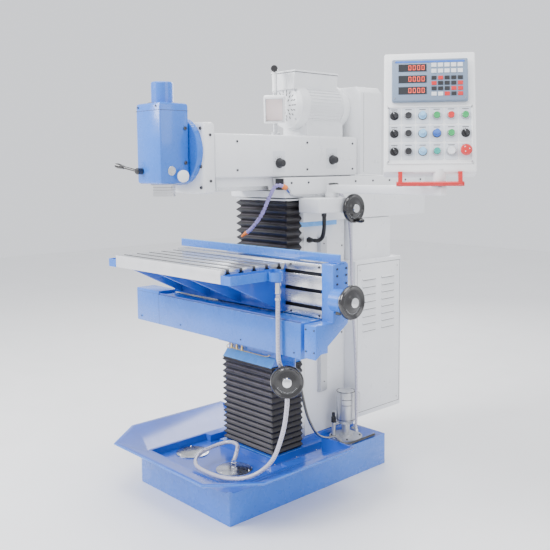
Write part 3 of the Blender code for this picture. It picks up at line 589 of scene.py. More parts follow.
def make_guide_details():
    wiper = Piece("way_wipers", "base", DARK, 0.0006, "bellows_rubber")
    for s in (-1, 1):
        lo, hi = sorted((s * 0.122, s * 0.168))
        wiper.box((lo, -0.0445, 1.262), (hi, -0.0395, 1.308))
    wiper.done()
    screws = Piece("guide_screws", "base", SLOT, 0, "ground_steel")
    for s in (-1, 1):
        for y in (0.0, 0.10, 0.40, 0.52, 0.64, 0.76, 0.88):
            screws.screw((s * 0.172, y, 1.290), (s, 0, 0), 0.0045)
        screws.screw((s * 0.145, -0.0445, 1.285), (0, -1, 0), 0.004)
    screws.done()
    under = Piece("guide_lip", "base", SKY, 0.0008, "blue_paint")
    under.box((-0.150, 0.0715, 1.100), (0.150, 0.30, 1.1215))
    under.done()
    cap = Piece("guide_floor", "base", WHITE, 0.001, "white_paint")
    cap.box((-0.121, 0.45, 1.1235), (0.121, 0.901, 1.128))
    cap.done()


# ---- bellows ------------------------------------------------------------------
def make_bellows(name, y0, z0, z1, folds, depth, crowd, top):
    """A pleated cover: rounded pleats, a painted highlight on each (a lighter strip up its
    upward-facing side), and end plates.
    """
    x, y1 = 0.163, 0.068
    cover = Piece(name, None, RUBBER, 0, "bellows_rubber")
    pleat_highlights = Piece(name + "_painted_highlights", None, PLEAT_HIGHLIGHT, 0, "bellows_rubber")
    rings = []
    height = z1 - z0

    def level(share):
        return z0 + height * (share + crowd * share * (share - 1))

    for k in range(folds):
        for part, inset in ((0.0, depth), (0.10, depth * 0.92), (0.46, 0.0012), (0.54, 0.0),
                            (0.62, 0.0012), (0.94, depth * 0.92)):
            rings.append((inset, level((k + part) / folds)))
    rings.append((depth, z1))
    cover.loft([[(-x + i, y0 + i, z), (x - i, y0 + i, z), (x - i, y1, z), (-x + i, y1, z)]
                for i, z in rings])
    for k in range(folds):
        # Painted highlight: a lighter strip up the upward-facing side of each pleat.
        a, b = level((k + 0.56) / folds), level((k + 0.93) / folds)
        i, j = 0.0004, depth * 0.88
        pleat_highlights.loft([[(-x + 0.010, y0 + i, a), (x - 0.010, y0 + i, a),
                     (x - 0.010, y0 + i + 0.003, a), (-x + 0.010, y0 + i + 0.003, a)],
                    [(-x + 0.010 + j, y0 + j - 0.0006, b), (x - 0.010 - j, y0 + j - 0.0006, b),
                     (x - 0.010 - j, y0 + j + 0.003, b), (-x + 0.010 + j, y0 + j + 0.003, b)]])
    made = [cover.done(), pleat_highlights.done()]
    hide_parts("lower_bellows" if top else "upper_bellows")
    for piece in made:
        if top:
            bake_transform(piece)
        else:
            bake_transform(piece)


def make_covers():
    make_bellows("knee_bellows", -0.112, 0.1405, 0.5215, 15, 0.011, 0.10, True)
    make_bellows("column_bellows", -0.020, 0.9985, 1.2150, 7, 0.015, 0.0, False)
    plate = Piece("bellows_top_plate", "base", PALE, 0.0008, "white_paint")
    plate.box((-0.163, -0.020, 1.2152), (0.163, 0.068, 1.2218))
    plate.done()
    frame_low = Piece("bellows_frame", "knee", RUBBER, 0.0006, "bellows_rubber")
    frame_low.box((-0.160, -0.111, 0.517), (0.160, 0.066, 0.5219))
    frame_low.done()


# ---- knee and tables ----------------------------------------------------------
def make_knee_details():
    lip = Piece("knee_lip", "knee", SKY, 0.0008, "blue_paint")
    lip.loft([[(x, -0.1125, 0.5222), (x, -0.1105, 0.5222), (x, -0.082, 0.5555),
               (x, -0.084, 0.5570)] for x in (-0.158, 0.158)])
    lip.done()
    lines = Piece("oil_lines", "knee", BRASS, 0, "ground_steel")
    for x in (-0.12, -0.085, -0.05):
        lines.rod(0.006, (x, -0.092, 0.562), (x, -0.092, 0.576), 6)
        lines.rod(0.0035, (x, -0.092, 0.576), (x, -0.092, 0.583), 10)
    lines.tube(smooth_path([(-0.12, -0.092, 0.564), (-0.09, -0.094, 0.561),
                            (0.0, -0.090, 0.560), (0.10, -0.092, 0.561),
                            (0.135, -0.094, 0.572)]), 0.0022, 8)
    lines.tube(smooth_path([(-0.13, -0.092, 0.582), (-0.145, -0.100, 0.566),
                            (-0.13, -0.097, 0.559), (-0.10, -0.094, 0.566)]), 0.0018, 8)
    lines.done()
    wheel = V((0.470, -0.317, 0.570))
    inward = V((-1, 1, 0)).normalized()
    block = Piece("z_feed_block", "knee", BLACK, 0.003, "black_gloss")
    block.turned([(0, 0.012), (0.037, 0.012), (0.037, 0.040), (0.033, 0.046), (0, 0.046)],
                 along(wheel, inward), 36)
    low = wheel + inward * 0.032
    block.rod(0.014, low + V((0, 0, -0.030)), low + V((0, 0, -0.056)), 20, 0.003)
    block.done()
    clamp = Piece("hose_clamp", "knee", CHROME, 0.0003, "ground_steel")
    clamp.turned([(0.0092, 0), (0.0108, 0), (0.0108, 0.010), (0.0092, 0.010)],
                 Matrix.Translation((0.440, -0.289, 0.503)), 24)
    clamp.done()
    lever = Piece("slide_lock_stem", "knee", STEEL, 0, "ground_steel")
    tip = Piece("slide_lock_grip", "knee", RED, 0, "black_gloss")
    lever.rod(0.0045, (0.1555, -0.060, 0.640), (0.245, -0.110, 0.640), 12, 0.001)
    tip.turned([(0, 0), (0.006, 0), (0.008, 0.006), (0.0075, 0.028), (0.004, 0.034), (0, 0.034)],
               along((0.243, -0.109, 0.641), (0.1, -0.1, -1)), 18)
    lever.done()
    tip.done()
    screws = Piece("knee_screws", "knee", SLOT, 0, "ground_steel")
    for s in (-1, 1):
        for z in (0.66, 0.80, 0.94):
            for y in (-0.10, 0.02):
                screws.screw((s * 0.155, y, z), (s, 0, 0), 0.0045)
    screws.done()


def make_table_details():
    mid = -0.36715
    floors = Piece("slot_floors", "x_slide", SLOT, 0, "cast_ways")
    for k in range(-2, 3):
        y = mid + 0.063 * k
        floors.box((-0.3497, y - 0.0118, 0.9691), (0.3497, y + 0.0118, 0.9697))
    for k in range(3):
        z = 0.837 + 0.063 * k
        floors.box((-0.3497, -0.1832, z - 0.0118), (0.5497, -0.1826, z + 0.0118))
    floors.done()
    screws = Piece("slide_screws", "x_slide", SLOT, 0, "ground_steel")
    x = 0.611
    for z in (0.835, 0.865, 0.935, 0.965, 0.990):
        for y in (-0.200, -0.152):
            screws.screw((x, y, z), (1, 0, 0), 0.0042)
    for px in (0.561, 0.602):
        for z in (0.70, 0.78):
            screws.screw((px, -0.310, z), (0, -1, 0), 0.0032)
    for px in (-0.50, -0.20, 0.20, 0.50):
        screws.screw((px, -0.310, 0.684), (0, -1, 0), 0.0030)
    for px in (0.38, 0.53):
        for z in (0.81, 0.99):
            screws.screw((px, -0.207, z), (0, -1, 0), 0.0045)
    screws.done()
    edge = Piece("guard_edge", "x_slide", SKY, 0.0004, "blue_paint")
    edge.box((-0.35, -0.1872, 1.0385), (0.612, -0.1806, 1.0408))
    edge.done()
    seams = Piece("beam_seams", "x_slide", SLOT, 0, "black_gloss")
    seams.box((-0.3605, -0.3102, 0.664), (-0.3590, -0.3096, 0.796))
    seams.box((-0.5345, -0.3102, 0.7985), (0.5345, -0.3098, 0.7995))
    seams.done()
    tray = Piece("beam_gutter", "x_slide", TRAY, 0.0006, "blue_paint")
    tray.box((-0.355, -0.3085, 0.7972), (0.534, -0.3045, 0.8045))
    tray.done()
    pipe = Piece("drain_pipe", "x_slide", CHROME, 0, "ground_steel")
    pipe.turned([(0.0102, 0), (0.0118, 0), (0.0118, 0.040), (0.0102, 0.040)],
                Matrix.Translation((0.436, -0.328, 0.897)), 24)
    pipe.turned([(0.0090, 0), (0.0108, 0), (0.0108, 0.009), (0.0090, 0.009)],
                Matrix.Translation((0.436, -0.3285, 0.872)), 24)
    pipe.turned([(0, 0), (0.010, 0), (0.0, 0.0005)],
                Matrix.Translation((0.426, -0.328, 0.9462)), 20)
    pipe.done()
    dial = Piece("x_dial_marks", "x_slide", SLOT, 0, "black_gloss")
    hub = V((0.6113, -0.210, 0.880))
    for k in range(50):
        a = math.tau * k / 50
        size = 0.006 if k % 5 == 0 else 0.0035
        place = Matrix.Translation(hub) @ Matrix.Rotation(a, 4, "X")
        dial.box((0.0565, -0.0003, 0.0358), (0.0565 + size, 0.0003, 0.0363), place)
    dial.done()
    hub_paint = Piece("x_bearing", "x_slide", BLUE, 0.0015, "blue_paint")
    hub_paint.turned([(0.0398, 0.0), (0.0418, 0.0), (0.0418, 0.050), (0.0398, 0.050)],
                     along(hub, (1, 0, 0)), 48)
    hub_paint.done()
    lug = Piece("x_clamp_lug", "x_slide", BLACK, 0.002, "black_gloss")
    lug.box((0.622, -0.222, 0.828), (0.645, -0.198, 0.842))
    lug.done()


# ---- handwheels ---------------------------------------------------------------
def make_wheel(body, node, centre, direction):
    rim = Piece(node + "_rim", body, BLACK, 0, "black_gloss")
    profile = [(0.0137, -0.0055), (0.0137, 0.003), (0.030, 0.001), (0.049, -0.0042),
               (0.0548, -0.0078), (0.0600, -0.0072), (0.0620, -0.0040), (0.0624, 0.001),
               (0.0622, 0.0055), (0.0600, 0.0095), (0.0570, 0.0107), (0.0535, 0.0092),
               (0.0495, 0.0050), (0.0460, 0.0040), (0.0300, 0.0075), (0.0225, 0.0108),
               (0.0200, 0.0108)]
    place = along(centre, direction)
    rim.turned([(0, -0.0055)] + profile + [(0.0190, 0.012), (0, 0.012)], place, 64)
    made = rim.done()
    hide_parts(node)
    hub = Piece(node + "_hub", body, CHROME, 0, "ground_steel")
    hub.turned([(0, 0.010), (0.0183, 0.010), (0.0183, 0.0165), (0.0168, 0.0185), (0.0120, 0.0188),
                (0.0108, 0.0192), (0.0, 0.0196)], place, 40)
    hub.turned([(0, 0.0186), (0.0052, 0.0186), (0.0052, 0.0199), (0, 0.0199)], place, 6)
    hub.done()
    marks = Piece(node + "_marks", body, KEY, 0, "ground_steel")
    for k in range(17):
        a = math.radians(-148 + 7.2 * k)
        size = 0.0042 if k % 4 == 0 else 0.0024
        marks.box((0.0385, -0.0004, 0.0062), (0.0385 + size, 0.0004, 0.0066),
                  place @ Matrix.Rotation(a, 4, "Z"))
    marks.done()


def make_wheels():
    make_wheel("x_handwheel", "x_handwheel", (0.690, -0.210, 0.880), (1, 0, 0))
    make_wheel("y_handwheel", "y_handwheel", (0.3065, 0.235, 1.179), (1, 0, 0))
    make_wheel("z_handwheel", "z_handwheel", (0.470, -0.317, 0.570), (1, -1, 0))
    grip = Piece("y_crank_grip", "y_handwheel", BLACK, 0, "black_gloss")
    grip.turned([(0, 0.004), (0.005, 0.004), (0.005, 0.016), (0.0085, 0.019), (0.0108, 0.034),
                 (0.0098, 0.048), (0.006, 0.0555), (0, 0.056)],
                along((0.3065, 0.235, 1.129), (1, 0, 0)), 28)
    grip.done()


# ---- ram, motor and head ------------------------------------------------------
def make_ram_details():
    plates = Piece("selector_plates", "ram", KEY, 0.0004, "ground_steel")
    marks = Piece("selector_marks", "ram", SLOT, 0, "black_gloss")
    for y, z in ((-0.035, 1.372), (0.285, 1.385)):
        plates.box((0.1351, y - 0.034, z - 0.038), (0.1360, y + 0.034, z + 0.050))
        for k in range(7):
            a = math.radians(-75 + 25 * k)
            place = (Matrix.Translation((0.1361, y, z)) @ Matrix.Rotation(a, 4, "X"))
            marks.box((0, -0.0006, 0.0235), (0.0003, 0.0006, 0.030), place)
    plates.done()
    marks.done()
    bolts = Piece("ram_screws", "ram", SLOT, 0, "ground_steel")
    for y in (-0.26, 0.13, 0.42):
        for z in (1.345, 1.458):
            for s in (-1, 1):
                bolts.screw((s * 0.135, y, z), (s, 0, 0), 0.0045)
    for x in (-0.118, 0.118):
        for z in (1.280, 1.360, 1.440, 1.505):
            bolts.screw((x, -0.425, z), (0, -1, 0), 0.0065)
    for x in (-0.14, 0.14):
        for z in (1.305, 1.48):
            bolts.screw((x, -0.398, z), (1 if x > 0 else -1, 0, 0), 0.0055)
    bolts.done()
    ring = Piece("swivel_marks", "ram", KEY, 0, "ground_steel")
    for k in range(-9, 10):
        place = (Matrix.Translation((0, -0.4486, 1.42)) @ Matrix.Rotation(
            math.radians(5 * k), 4, "Y"))
        ring.box((-0.0005, 0.001, 0.1298), (0.0005, 0.012 if k % 2 else 0.018, 0.1303), place)
    ring.done()
    rail = Piece("ram_ways", "ram", GROUND, 0.0006, "cast_ways")
    for s in (-1, 1):
        outline = [(s * 0.0945, 1.3148), (s * 0.1085, 1.2625), (s * 0.1060, 1.2622),
                   (s * 0.092, 1.3148)]
        rail.loft([[(a, y, b) for a, b in outline] for y in (-0.339, -0.07)])
    rail.done()
    seams = Piece("cover_seams", "ram", SLOT, 0, "black_gloss")
    seams.box((0.1499, 0.4800, 1.33), (0.1503, 0.4815, 1.685))
    seams.box((-0.1503, 0.4800, 1.33), (-0.1499, 0.4815, 1.685))
    seams.done()


def make_motor_details():
    axis = along((0, 0.130, 1.622), (0, 1, 0))
    fins = Piece("motor_fins", "ram", WHITE, 0, "white_paint")
    for k in range(40):
        a = math.tau * k / 40
        place = axis @ Matrix.Rotation(a, 4, "Z")
        fins.box((0.0955, -0.0012, 0.066), (0.1015, 0.0012, 0.268), place)
    fins.done()
    bell = Piece("motor_bell_screws", "ram", STEEL, 0, "ground_steel")
    for k in range(4):
        a = math.radians(45 + 90 * k)
        bell.screw(V((0.085 * math.cos(a), 0.138, 1.622 + 0.085 * math.sin(a))), (0, -1, 0),
                   0.0045)
    bell.done()
    slots = Piece("fan_slots", "ram", SLOT, 0, "black_gloss")
    for ring, count in ((0.030, 8), (0.048, 14), (0.062, 18)):
        for k in range(count):
            place = axis @ Matrix.Rotation(math.tau * k / count, 4, "Z")
            slots.box((ring - 0.006, -0.0022, -0.0004), (ring + 0.006, 0.0022, 0.0004), place)
    slots.done()
    box = Piece("terminal_lid", "ram", WHITE, 0.002, "white_paint")
    box.box((-0.077, 0.117, 1.7630), (0.077, 0.393, 1.7698))
    box.done()
    lip = Piece("terminal_shadow", "ram", SLOT, 0, "black_gloss")
    lip.box((-0.0752, 0.1192, 1.7605), (0.0752, 0.3908, 1.7622))
    lip.done()


def make_head_details():
    seam = Piece("head_seams", "head", SLOT, 0, "black_gloss")
    z = 1.570
    for lo, hi in (((-0.0803, -0.583, z), (-0.0797, -0.452, z + 0.0016)),
                   ((0.0797, -0.583, z), (0.0803, -0.452, z + 0.0016)),
                   ((-0.079, -0.5853, z), (0.079, -0.5847, z + 0.0016))):
        seam.box(lo, hi)
    seam.turned([(0.0552, 0), (0.0565, 0), (0.0565, 0.0015), (0.0552, 0.0015)],
                Matrix.Translation((0, -0.515, 1.6002)), 40)
    seam.done()
    bolts = Piece("head_bolts", "head", SLOT, 0, "ground_steel")
    bolts.screw((0.080, -0.470, 1.505), (1, 0, 0), 0.0075, 0.004)
    bolts.screw((0.080, -0.470, 1.375), (1, 0, 0), 0.0075, 0.004)
    for x in (-0.060, 0.060):
        bolts.screw((x, -0.585, 1.585), (0, -1, 0), 0.0038)
    bolts.done()
    plug = Piece("head_plug", "head", STEEL, 0.0004, "ground_steel")
    plug.rod(0.018, (0.0795, -0.535, 1.345), (0.0830, -0.535, 1.345), 32, 0.001)
    plug.done()
    knob = Piece("head_knob", "head", PALE, 0, "white_paint")
    knob.turned([(0, 0), (0.010, 0), (0.010, 0.010), (0.022, 0.013), (0.0235, 0.019),
                 (0.0225, 0.027), (0.016, 0.030), (0, 0.0305)],
                along((0.0795, -0.497, 1.325), (1, 0, 0)), 36)
    knob.done()
    collar = Piece("quill_collar", "head", CHROME, 0, "ground_steel")
    collar.turned([(0.0438, 0), (0.052, 0), (0.052, 0.005), (0.050, 0.0068), (0.0438, 0.0068)],
                  Matrix.Translation((0, -0.515, 1.2892)), 48)
    collar.done()
    keys = Piece("drive_keys", "spindle", STEEL, 0.0005, "ground_steel")
    for s in (-1, 1):
        a, b = sorted((s * 0.026, s * 0.043))
        keys.box((a, -0.523, 1.2481), (b, -0.507, 1.2512))
    keys.done()
    stripe = Piece("nose_grooves", "quill", SLOT, 0, "ground_steel")
    for z in (1.272, 1.282):
        stripe.turned([(0.0426, z), (0.04315, z), (0.04315, z + 0.0012), (0.0426, z + 0.0012)],
                      Matrix.Translation((0, -0.515, 0)), 48)
    stripe.done()


# ---- lamp ---------------------------------------------------------------------
def make_lamp_details():
    elbow = V((0.0, 0.070, 1.772))
    toward = V((1, -1, 0)).normalized()
    knob = Piece("lamp_knob", "lamp_arm", BLACK, 0, "black_gloss")
    start = elbow + toward * 0.0315
    knob.turned([(0, 0), (0.006, 0), (0.006, 0.004), (0.014, 0.006), (0.015, 0.010),
                 (0.013, 0.015), (0, 0.0155)], along(start, toward), 28)
    knob.done()
    place = (Matrix.Translation(V((0.045, 0.025, 1.660)) + V((0.004, -0.004, -0.0035)))
             @ Matrix.Rotation(math.radians(45), 4, "Z")
             @ Matrix.Rotation(math.radians(12), 4, "X"))
    lens = Piece("lamp_glass", "lamp_head", LENS, 0.0006, "lamp_white")
    lens.box((-0.0355, 0.004, -0.1055), (0.0355, 0.0118, -0.0125), place)
    lens.done()
    bars = Piece("lamp_bars", "lamp_head", SLOT, 0, "black_gloss")
    for k in range(7):
        z = -0.022 - 0.0125 * k
        bars.box((0.0448, -0.016, z - 0.004), (0.0453, 0.016, z), place)
        bars.box((-0.0453, -0.016, z - 0.004), (-0.0448, 0.016, z), place)
    bars.done()
    rim = Piece("lamp_rim", "lamp_head", ALLOY, 0.0006, "lamp_white")
    for lo, hi in (((-0.038, -0.0232, -0.108), (-0.035, -0.0205, -0.010)),
                   ((0.035, -0.0232, -0.108), (0.038, -0.0205, -0.010)),
                   ((-0.038, -0.0232, -0.013), (0.038, -0.0205, -0.010)),
                   ((-0.038, -0.0232, -0.108), (0.038, -0.0205, -0.105))):
        rim.box(lo, hi, place)
    rim.done()


# ---- control panel ------------------------------------------------------------
PANEL = (Matrix.Translation((0.742, 0.170, 1.332)) @ Matrix.Rotation(math.radians(39.2), 4, "Z")
         @ Matrix.Rotation(math.radians(-17), 4, "X"))
GRID = [("selector", DARK), ("button", DARK), ("knob", KNOB), ("button", GREEN),
        ("button", RED), ("button", GREEN),
        ("selector", DARK), ("button", DARK), ("knob", KNOB), ("knob", DEEP),
        ("button", GREEN), ("selector", DARK),
        ("selector", DARK), ("button", DARK), ("knob", KNOB), ("button", TEAL),
        ("big", KEY), ("stop", RED)]
SEGMENTS = {"0": "abcdef", "1": "bc", "2": "abged", "3": "abgcd", "5": "afgcd", "7": "abc",
            "8": "abcdefg"}
STROKES = {"a": (0, 2, 1, 2), "b": (1, 1, 1, 2), "c": (1, 0, 1, 1), "d": (0, 0, 1, 0),
           "e": (0, 0, 0, 1), "f": (0, 1, 0, 2), "g": (0, 1, 1, 1)}


def face_at(x, z, y=0.0):
    """A place on the panel's face whose +Z points out of it and whose +Y points up it."""
    return PANEL @ Matrix.Translation((x, y, z)) @ Matrix.Rotation(math.radians(90), 4, "X")


def make_panel_details():
    plate = Piece("control_plate", "panel", surface("plate_film", (0.66, 0.69, 0.74), 0.45,
                                                    vary=0.02, grain=900), 0.0006, "white_paint")
    plate_bars = Piece("control_frame", "panel", PALE, 0.0006, "white_paint")
    (x0, z0), (x1, z1) = (-0.160, 0.032), (0.160, 0.262)
    for lo, hi in (((x0, -0.004, z0), (x0 + 0.006, 0.001, z1)),
                   ((x1 - 0.006, -0.004, z0), (x1, 0.001, z1)),
                   ((x0, -0.004, z0), (x1, 0.001, z0 + 0.006)),
                   ((x0, -0.004, z1 - 0.006), (x1, 0.001, z1))):
        plate_bars.box(lo, hi, PANEL)
    plate_bars.done()
    for k in range(6):
        for row in range(3):
            cx, cz = (k - 2.5) * 0.053, 0.152 + (1 - row) * 0.071
            w, h = 0.0245, 0.033
            outer = [(-w, -h), (w, -h), (w, h), (-w, h)]
            inner = [(0.0168 * math.cos(a), 0.0168 * math.sin(a))
                     for a in (math.tau * (i + 0.5) / 32 for i in range(32))]
            place = face_at(cx, cz)
            square = []
            for px, py in inner:
                grow = min(w / max(abs(px), 1e-6), h / max(abs(py), 1e-6))
                square.append((px * grow, py * grow))
            plate.loft([[(a, b, 0.0002) for a, b in square],
                        [(a, b, 0.0010) for a, b in square],
                        [(a, b, 0.0010) for a, b in inner],
                        [(a, b, 0.0002) for a, b in inner]], closed=True, matrix=place)
    plate.done()
    bezels = Piece("control_bezels", "panel", STEEL, 0, "ground_steel")
    collars = Piece("control_collars", "panel", DARK, 0, "black_gloss")
    legends = Piece("control_legends", "panel", SLOT, 0, "black_gloss")
    for i, (kind, look) in enumerate(GRID):
        cx, cz = (i % 6 - 2.5) * 0.053, 0.152 + (1 - i // 6) * 0.071
        place = face_at(cx, cz, -0.0003)
        hole = {"button": 0.0131, "big": 0.0156, "stop": 0.0116}.get(kind)
        if hole:
            wide = hole + 0.0035
            bezels.turned([(hole, 0), (wide, 0), (wide, 0.0035), (wide - 0.0012, 0.0062),
                           (hole, 0.0066)], place, 40)
        else:
            collars.turned([(0.0152, 0.0), (0.0166, 0.0), (0.0166, 0.003), (0.0152, 0.0035)],
                           place, 40)
        if kind == "selector":
            for k in range(-3, 4):
                spot = place @ Matrix.Rotation(math.radians(22 * k), 4, "Z")
                legends.box((-0.0005, 0.0185, 0.0009), (0.0005, 0.0225, 0.0013), spot)
        legends.box((-0.012, 0.0238, 0.0009), (0.012, 0.0262, 0.0013), place)
    bezels.done()
    collars.done()
    legends.done()
    screws = Piece("panel_screws", "panel", STEEL, 0, "ground_steel")
    out = (PANEL.to_3x3() @ V((0, -1, 0)))
    for x in (-0.155, 0.155):
        for z in (0.040, 0.254):
            screws.screw(PANEL @ V((x, -0.004, z)), out, 0.0032)
    for x in (-0.132, 0.132):
        for z in (0.285, 0.435):
            screws.screw(PANEL @ V((x, -0.0220, z)), out, 0.0026)
    screws.done()
    make_caps()
    make_readout()
    back = Piece("panel_back", "panel", PALE, 0.001, "white_paint")
    back.box((-0.160, 0.0745, 0.015), (0.160, 0.0768, 0.465), PANEL)
    back.done()
    vents = Piece("panel_vents", "panel", SLOT, 0, "black_gloss")
    for k in range(9):
        vents.box((-0.10, 0.0768, 0.33 + 0.012 * k), (0.10, 0.0772, 0.335 + 0.012 * k), PANEL)
    vents.done()


def make_caps():
    """A moulded top on each control, riding on its own body."""
    names = [n for n in frame["nodes"] if n.split("_")[0] in
             ("button", "big", "stop", "knob", "selector")]
    order = ["door_mode", "coolant", "speed", "start", "halt", "cycle", "lamp_switch",
             "lubricate", "feed", "rapid", "spindle_on", "axis", "power", "clamp", "jog",
             "reset", "brake", "emergency"]
    for name in names:
        kind, label = name.split("_", 1)
        i = order.index(label)
        place = face_at((i % 6 - 2.5) * 0.053, 0.152 + (1 - i // 6) * 0.071, -0.0003)
        look = GRID[i][1]
        if kind in ("button", "big"):
            r = 0.0118 if kind == "button" else 0.0140
            top = 0.0121 if kind == "button" else 0.0136
            cap = Piece(name + "_cap", name, look, 0, frame_slot(name))
            cap.turned([(0, top - 0.002), (r, top - 0.002), (r + 0.0003, top),
                        (r - 0.001, top + 0.0009), (r * 0.6, top + 0.0002), (0, top)], place, 36)
        elif kind == "knob":
            cap = Piece(name + "_cap", name, look, 0, frame_slot(name))
            for k in range(16):
                spot = place @ Matrix.Rotation(math.tau * k / 16, 4, "Z")
                cap.rod(0.0011, spot @ V((0.0093, 0, 0.009)), spot @ V((0.0088, 0, 0.0295)), 8)
        elif kind == "selector":
            cap = Piece(name + "_mark", name, KEY, 0, "button_white")
            spot = place @ Matrix.Rotation(math.radians(30), 4, "Z")
            cap.box((-0.0008, 0.003, 0.0198), (0.0008, 0.012, 0.0203), spot)
        else:
            cap = Piece(name + "_marks", name, KEY, 0, "button_white")
            for k in range(3):
                spot = place @ Matrix.Rotation(math.tau * k / 3, 4, "Z")
                cap.loft([[(0.009, 0.004, z), (0.0135, 0.001, z), (0.009, -0.002, z)]
                          for z in (0.0284, 0.0293)], matrix=spot)
        cap.done()


def frame_slot(node):
    for row in frame["record"]["subparts"]:
        if row["node"] == node:
            return row["material_slot"]
    return None


def make_readout():
    windows = Piece("readout_windows", "panel", GLASS, 0.0005, "readout_face")
    digits = Piece("readout_digits", "panel", DIGIT, 0, "red")
    keys = Piece("readout_keys", "panel", KEY, 0.0006, "button_white")
    hot = Piece("readout_hot_keys", "panel", RED, 0.0006, "red")
    dim = Piece("readout_dark_keys", "panel", DARK, 0.0006, "black_gloss")
    face = -0.022
    for row, text in enumerate(("0000", "0000", "0000")):
        z = 0.408 - 0.046 * row
        windows.box((-0.118, face - 0.0016, z - 0.015), (-0.012, face + 0.001, z + 0.015), PANEL)
        for i, char in enumerate("  " + text):
            if char == " ":
                continue
            x = -0.112 + 0.0165 * i
            for seg in SEGMENTS[char]:
                a, b, c, d = STROKES[seg]
                w, h, t = 0.0085, 0.0085, 0.0008
                digits.box((x + a * w - t, face - 0.0021, z - 0.0085 + b * h - t),
                           (x + c * w + t, face - 0.0014, z - 0.0085 + d * h + t), PANEL)
    for row in range(2):
        for col in range(5):
            x, z = 0.006 + 0.0245 * col, 0.418 - 0.024 * row
            keys.box((x, face - 0.0022, z - 0.008), (x + 0.019, face + 0.001, z + 0.008), PANEL)
    for row in range(4):
        for col in range(5):
            x, z = 0.006 + 0.0245 * col, 0.366 - 0.0215 * row
            target = hot if (row + col) % 4 == 1 or col == 4 and row > 1 else dim
            target = keys if col < 2 and row == 3 else target
            target.box((x, face - 0.0022, z - 0.0075), (x + 0.019, face + 0.001, z + 0.0075),
                       PANEL)
    for piece in (windows, digits, keys, hot, dim):
        piece.done()
    stripe = Piece("readout_band", "panel", DEEP, 0.0004, "knob_blue")
    stripe.box((-0.130, face - 0.0008, 0.4285), (0.130, face + 0.001, 0.4365), PANEL)
    stripe.done()


def make_arm_details():
    joint = Piece("arm_joint", "panel", BLACK, 0.0015, "black_gloss")
    joint.turned([(0.0242, 0), (0.031, 0), (0.031, 0.010), (0.028, 0.014), (0.0242, 0.014)],
                 Matrix.Translation((0.755, 0.210, 1.2802)), 40)
    joint.done()
    caps = Piece("arm_caps", "panel_arm", BLACK, 0.001, "black_gloss")
    caps.box((0.7752, 0.193, 1.247), (0.7768, 0.227, 1.277))
    caps.turned([(0, 0), (0.022, 0), (0.022, 0.004), (0.018, 0.007), (0, 0.008)],
                Matrix.Translation((0.214, 0.210, 1.2796)), 32)
    caps.done()


# ---- hoses and cables ---------------------------------------------------------
LOWER = [(0.440, -0.288, 0.5375), (0.441, -0.292, 0.46), (0.430, -0.305, 0.36),
         (0.395, -0.330, 0.25), (0.330, -0.375, 0.185), (0.235, -0.410, 0.158),
         (0.120, -0.420, 0.150), (0.020, -0.405, 0.150), (-0.045, -0.345, 0.155),
         (-0.050, -0.270, 0.170), (-0.005, -0.215, 0.190), (0.055, -0.215, 0.195),
         (0.086, -0.245, 0.175), (0.090, -0.262, 0.145), (0.090, -0.262, 0.1175)]
CABLE = [(0.452, -0.235, 0.560), (0.452, -0.222, 0.500), (0.440, -0.180, 0.400),
         (0.400, -0.090, 0.300), (0.350, 0.020, 0.242), (0.318, 0.100, 0.220),
         (0.300, 0.155, 0.182), (0.292, 0.205, 0.155), (0.290, 0.260, 0.1475),
         (0.289, 0.330, 0.1470), (0.289, 0.400, 0.1470)]
UPPER = [(0.436, -0.328, 0.8945), (0.436, -0.329, 0.80), (0.436, -0.329, 0.68),
         (0.436, -0.326, 0.645), (0.432, -0.312, 0.620), (0.430, -0.304, 0.6085)]


def hose(name, points, radius, look, body=None, slot="hose_clear", replaces=None,
         blend=None, steps=8):
    path = smooth_path(points, steps)
    piece = Piece(name, None, look, 0, slot).tube(path, radius, 16).done()
    if replaces:
        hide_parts(replaces)
    if blend:
        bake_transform(piece)
    else:
        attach(piece, body)
    return piece


def make_hoses():
    hose("tray_hose", LOWER, 0.0085, HOSE, replaces="lower_hose",
         blend=("base", "knee", (0.2, 0, 0.16), (0.44, 0, 0.52)))
    hose("drain_hose", UPPER, 0.0085, HOSE, replaces="upper_hose",
         blend=("knee", "x_slide", (0, 0, 0.62), (0, 0, 0.86)))
    hose("gearbox_conduit", [(0.262, 0.100, 1.163), (0.262, 0.101, 1.135), (0.256, 0.106, 1.095),
                             (0.236, 0.116, 1.060), (0.200, 0.130, 1.043), (0.165, 0.142, 1.040),
                             (0.147, 0.145, 1.040)], 0.0075, DARK, body="base",
         slot="black_gloss")
    ribs = Piece("conduit_ribs", "base", DARK, 0, "black_gloss")
    path = smooth_path([(0.262, 0.101, 1.150), (0.262, 0.101, 1.135), (0.256, 0.106, 1.095),
                        (0.236, 0.116, 1.060), (0.200, 0.130, 1.043), (0.165, 0.142, 1.040)], 11)
    for a, b in zip(path, path[1:]):
        ribs.turned([(0.0074, 0), (0.0088, 0.0004), (0.0088, 0.0016), (0.0074, 0.002)],
                    along(a, b - a), 18)
    ribs.rod(0.011, (0.262, 0.100, 1.1655), (0.262, 0.100, 1.150), 6)
    ribs.done()
    hose("delivery_hose", [(0.2630, 0.300, 0.198), (0.266, 0.301, 0.25), (0.262, 0.304, 0.45),
                           (0.245, 0.305, 0.70), (0.236, 0.303, 0.85), (0.235, 0.300, 1.00),
                           (0.233, 0.290, 1.115), (0.225, 0.282, 1.185), (0.205, 0.278, 1.228),
                           (0.186, 0.275, 1.236)], 0.0062, HOSE, body="base")
    make_nozzle_hose()
    hose("deck_cable", CABLE, 0.0055, BLACK, replaces="power_cable",
         blend=("base", "knee", (0.3, 0, 0.23), (0.45, 0, 0.54)), slot="black_gloss")


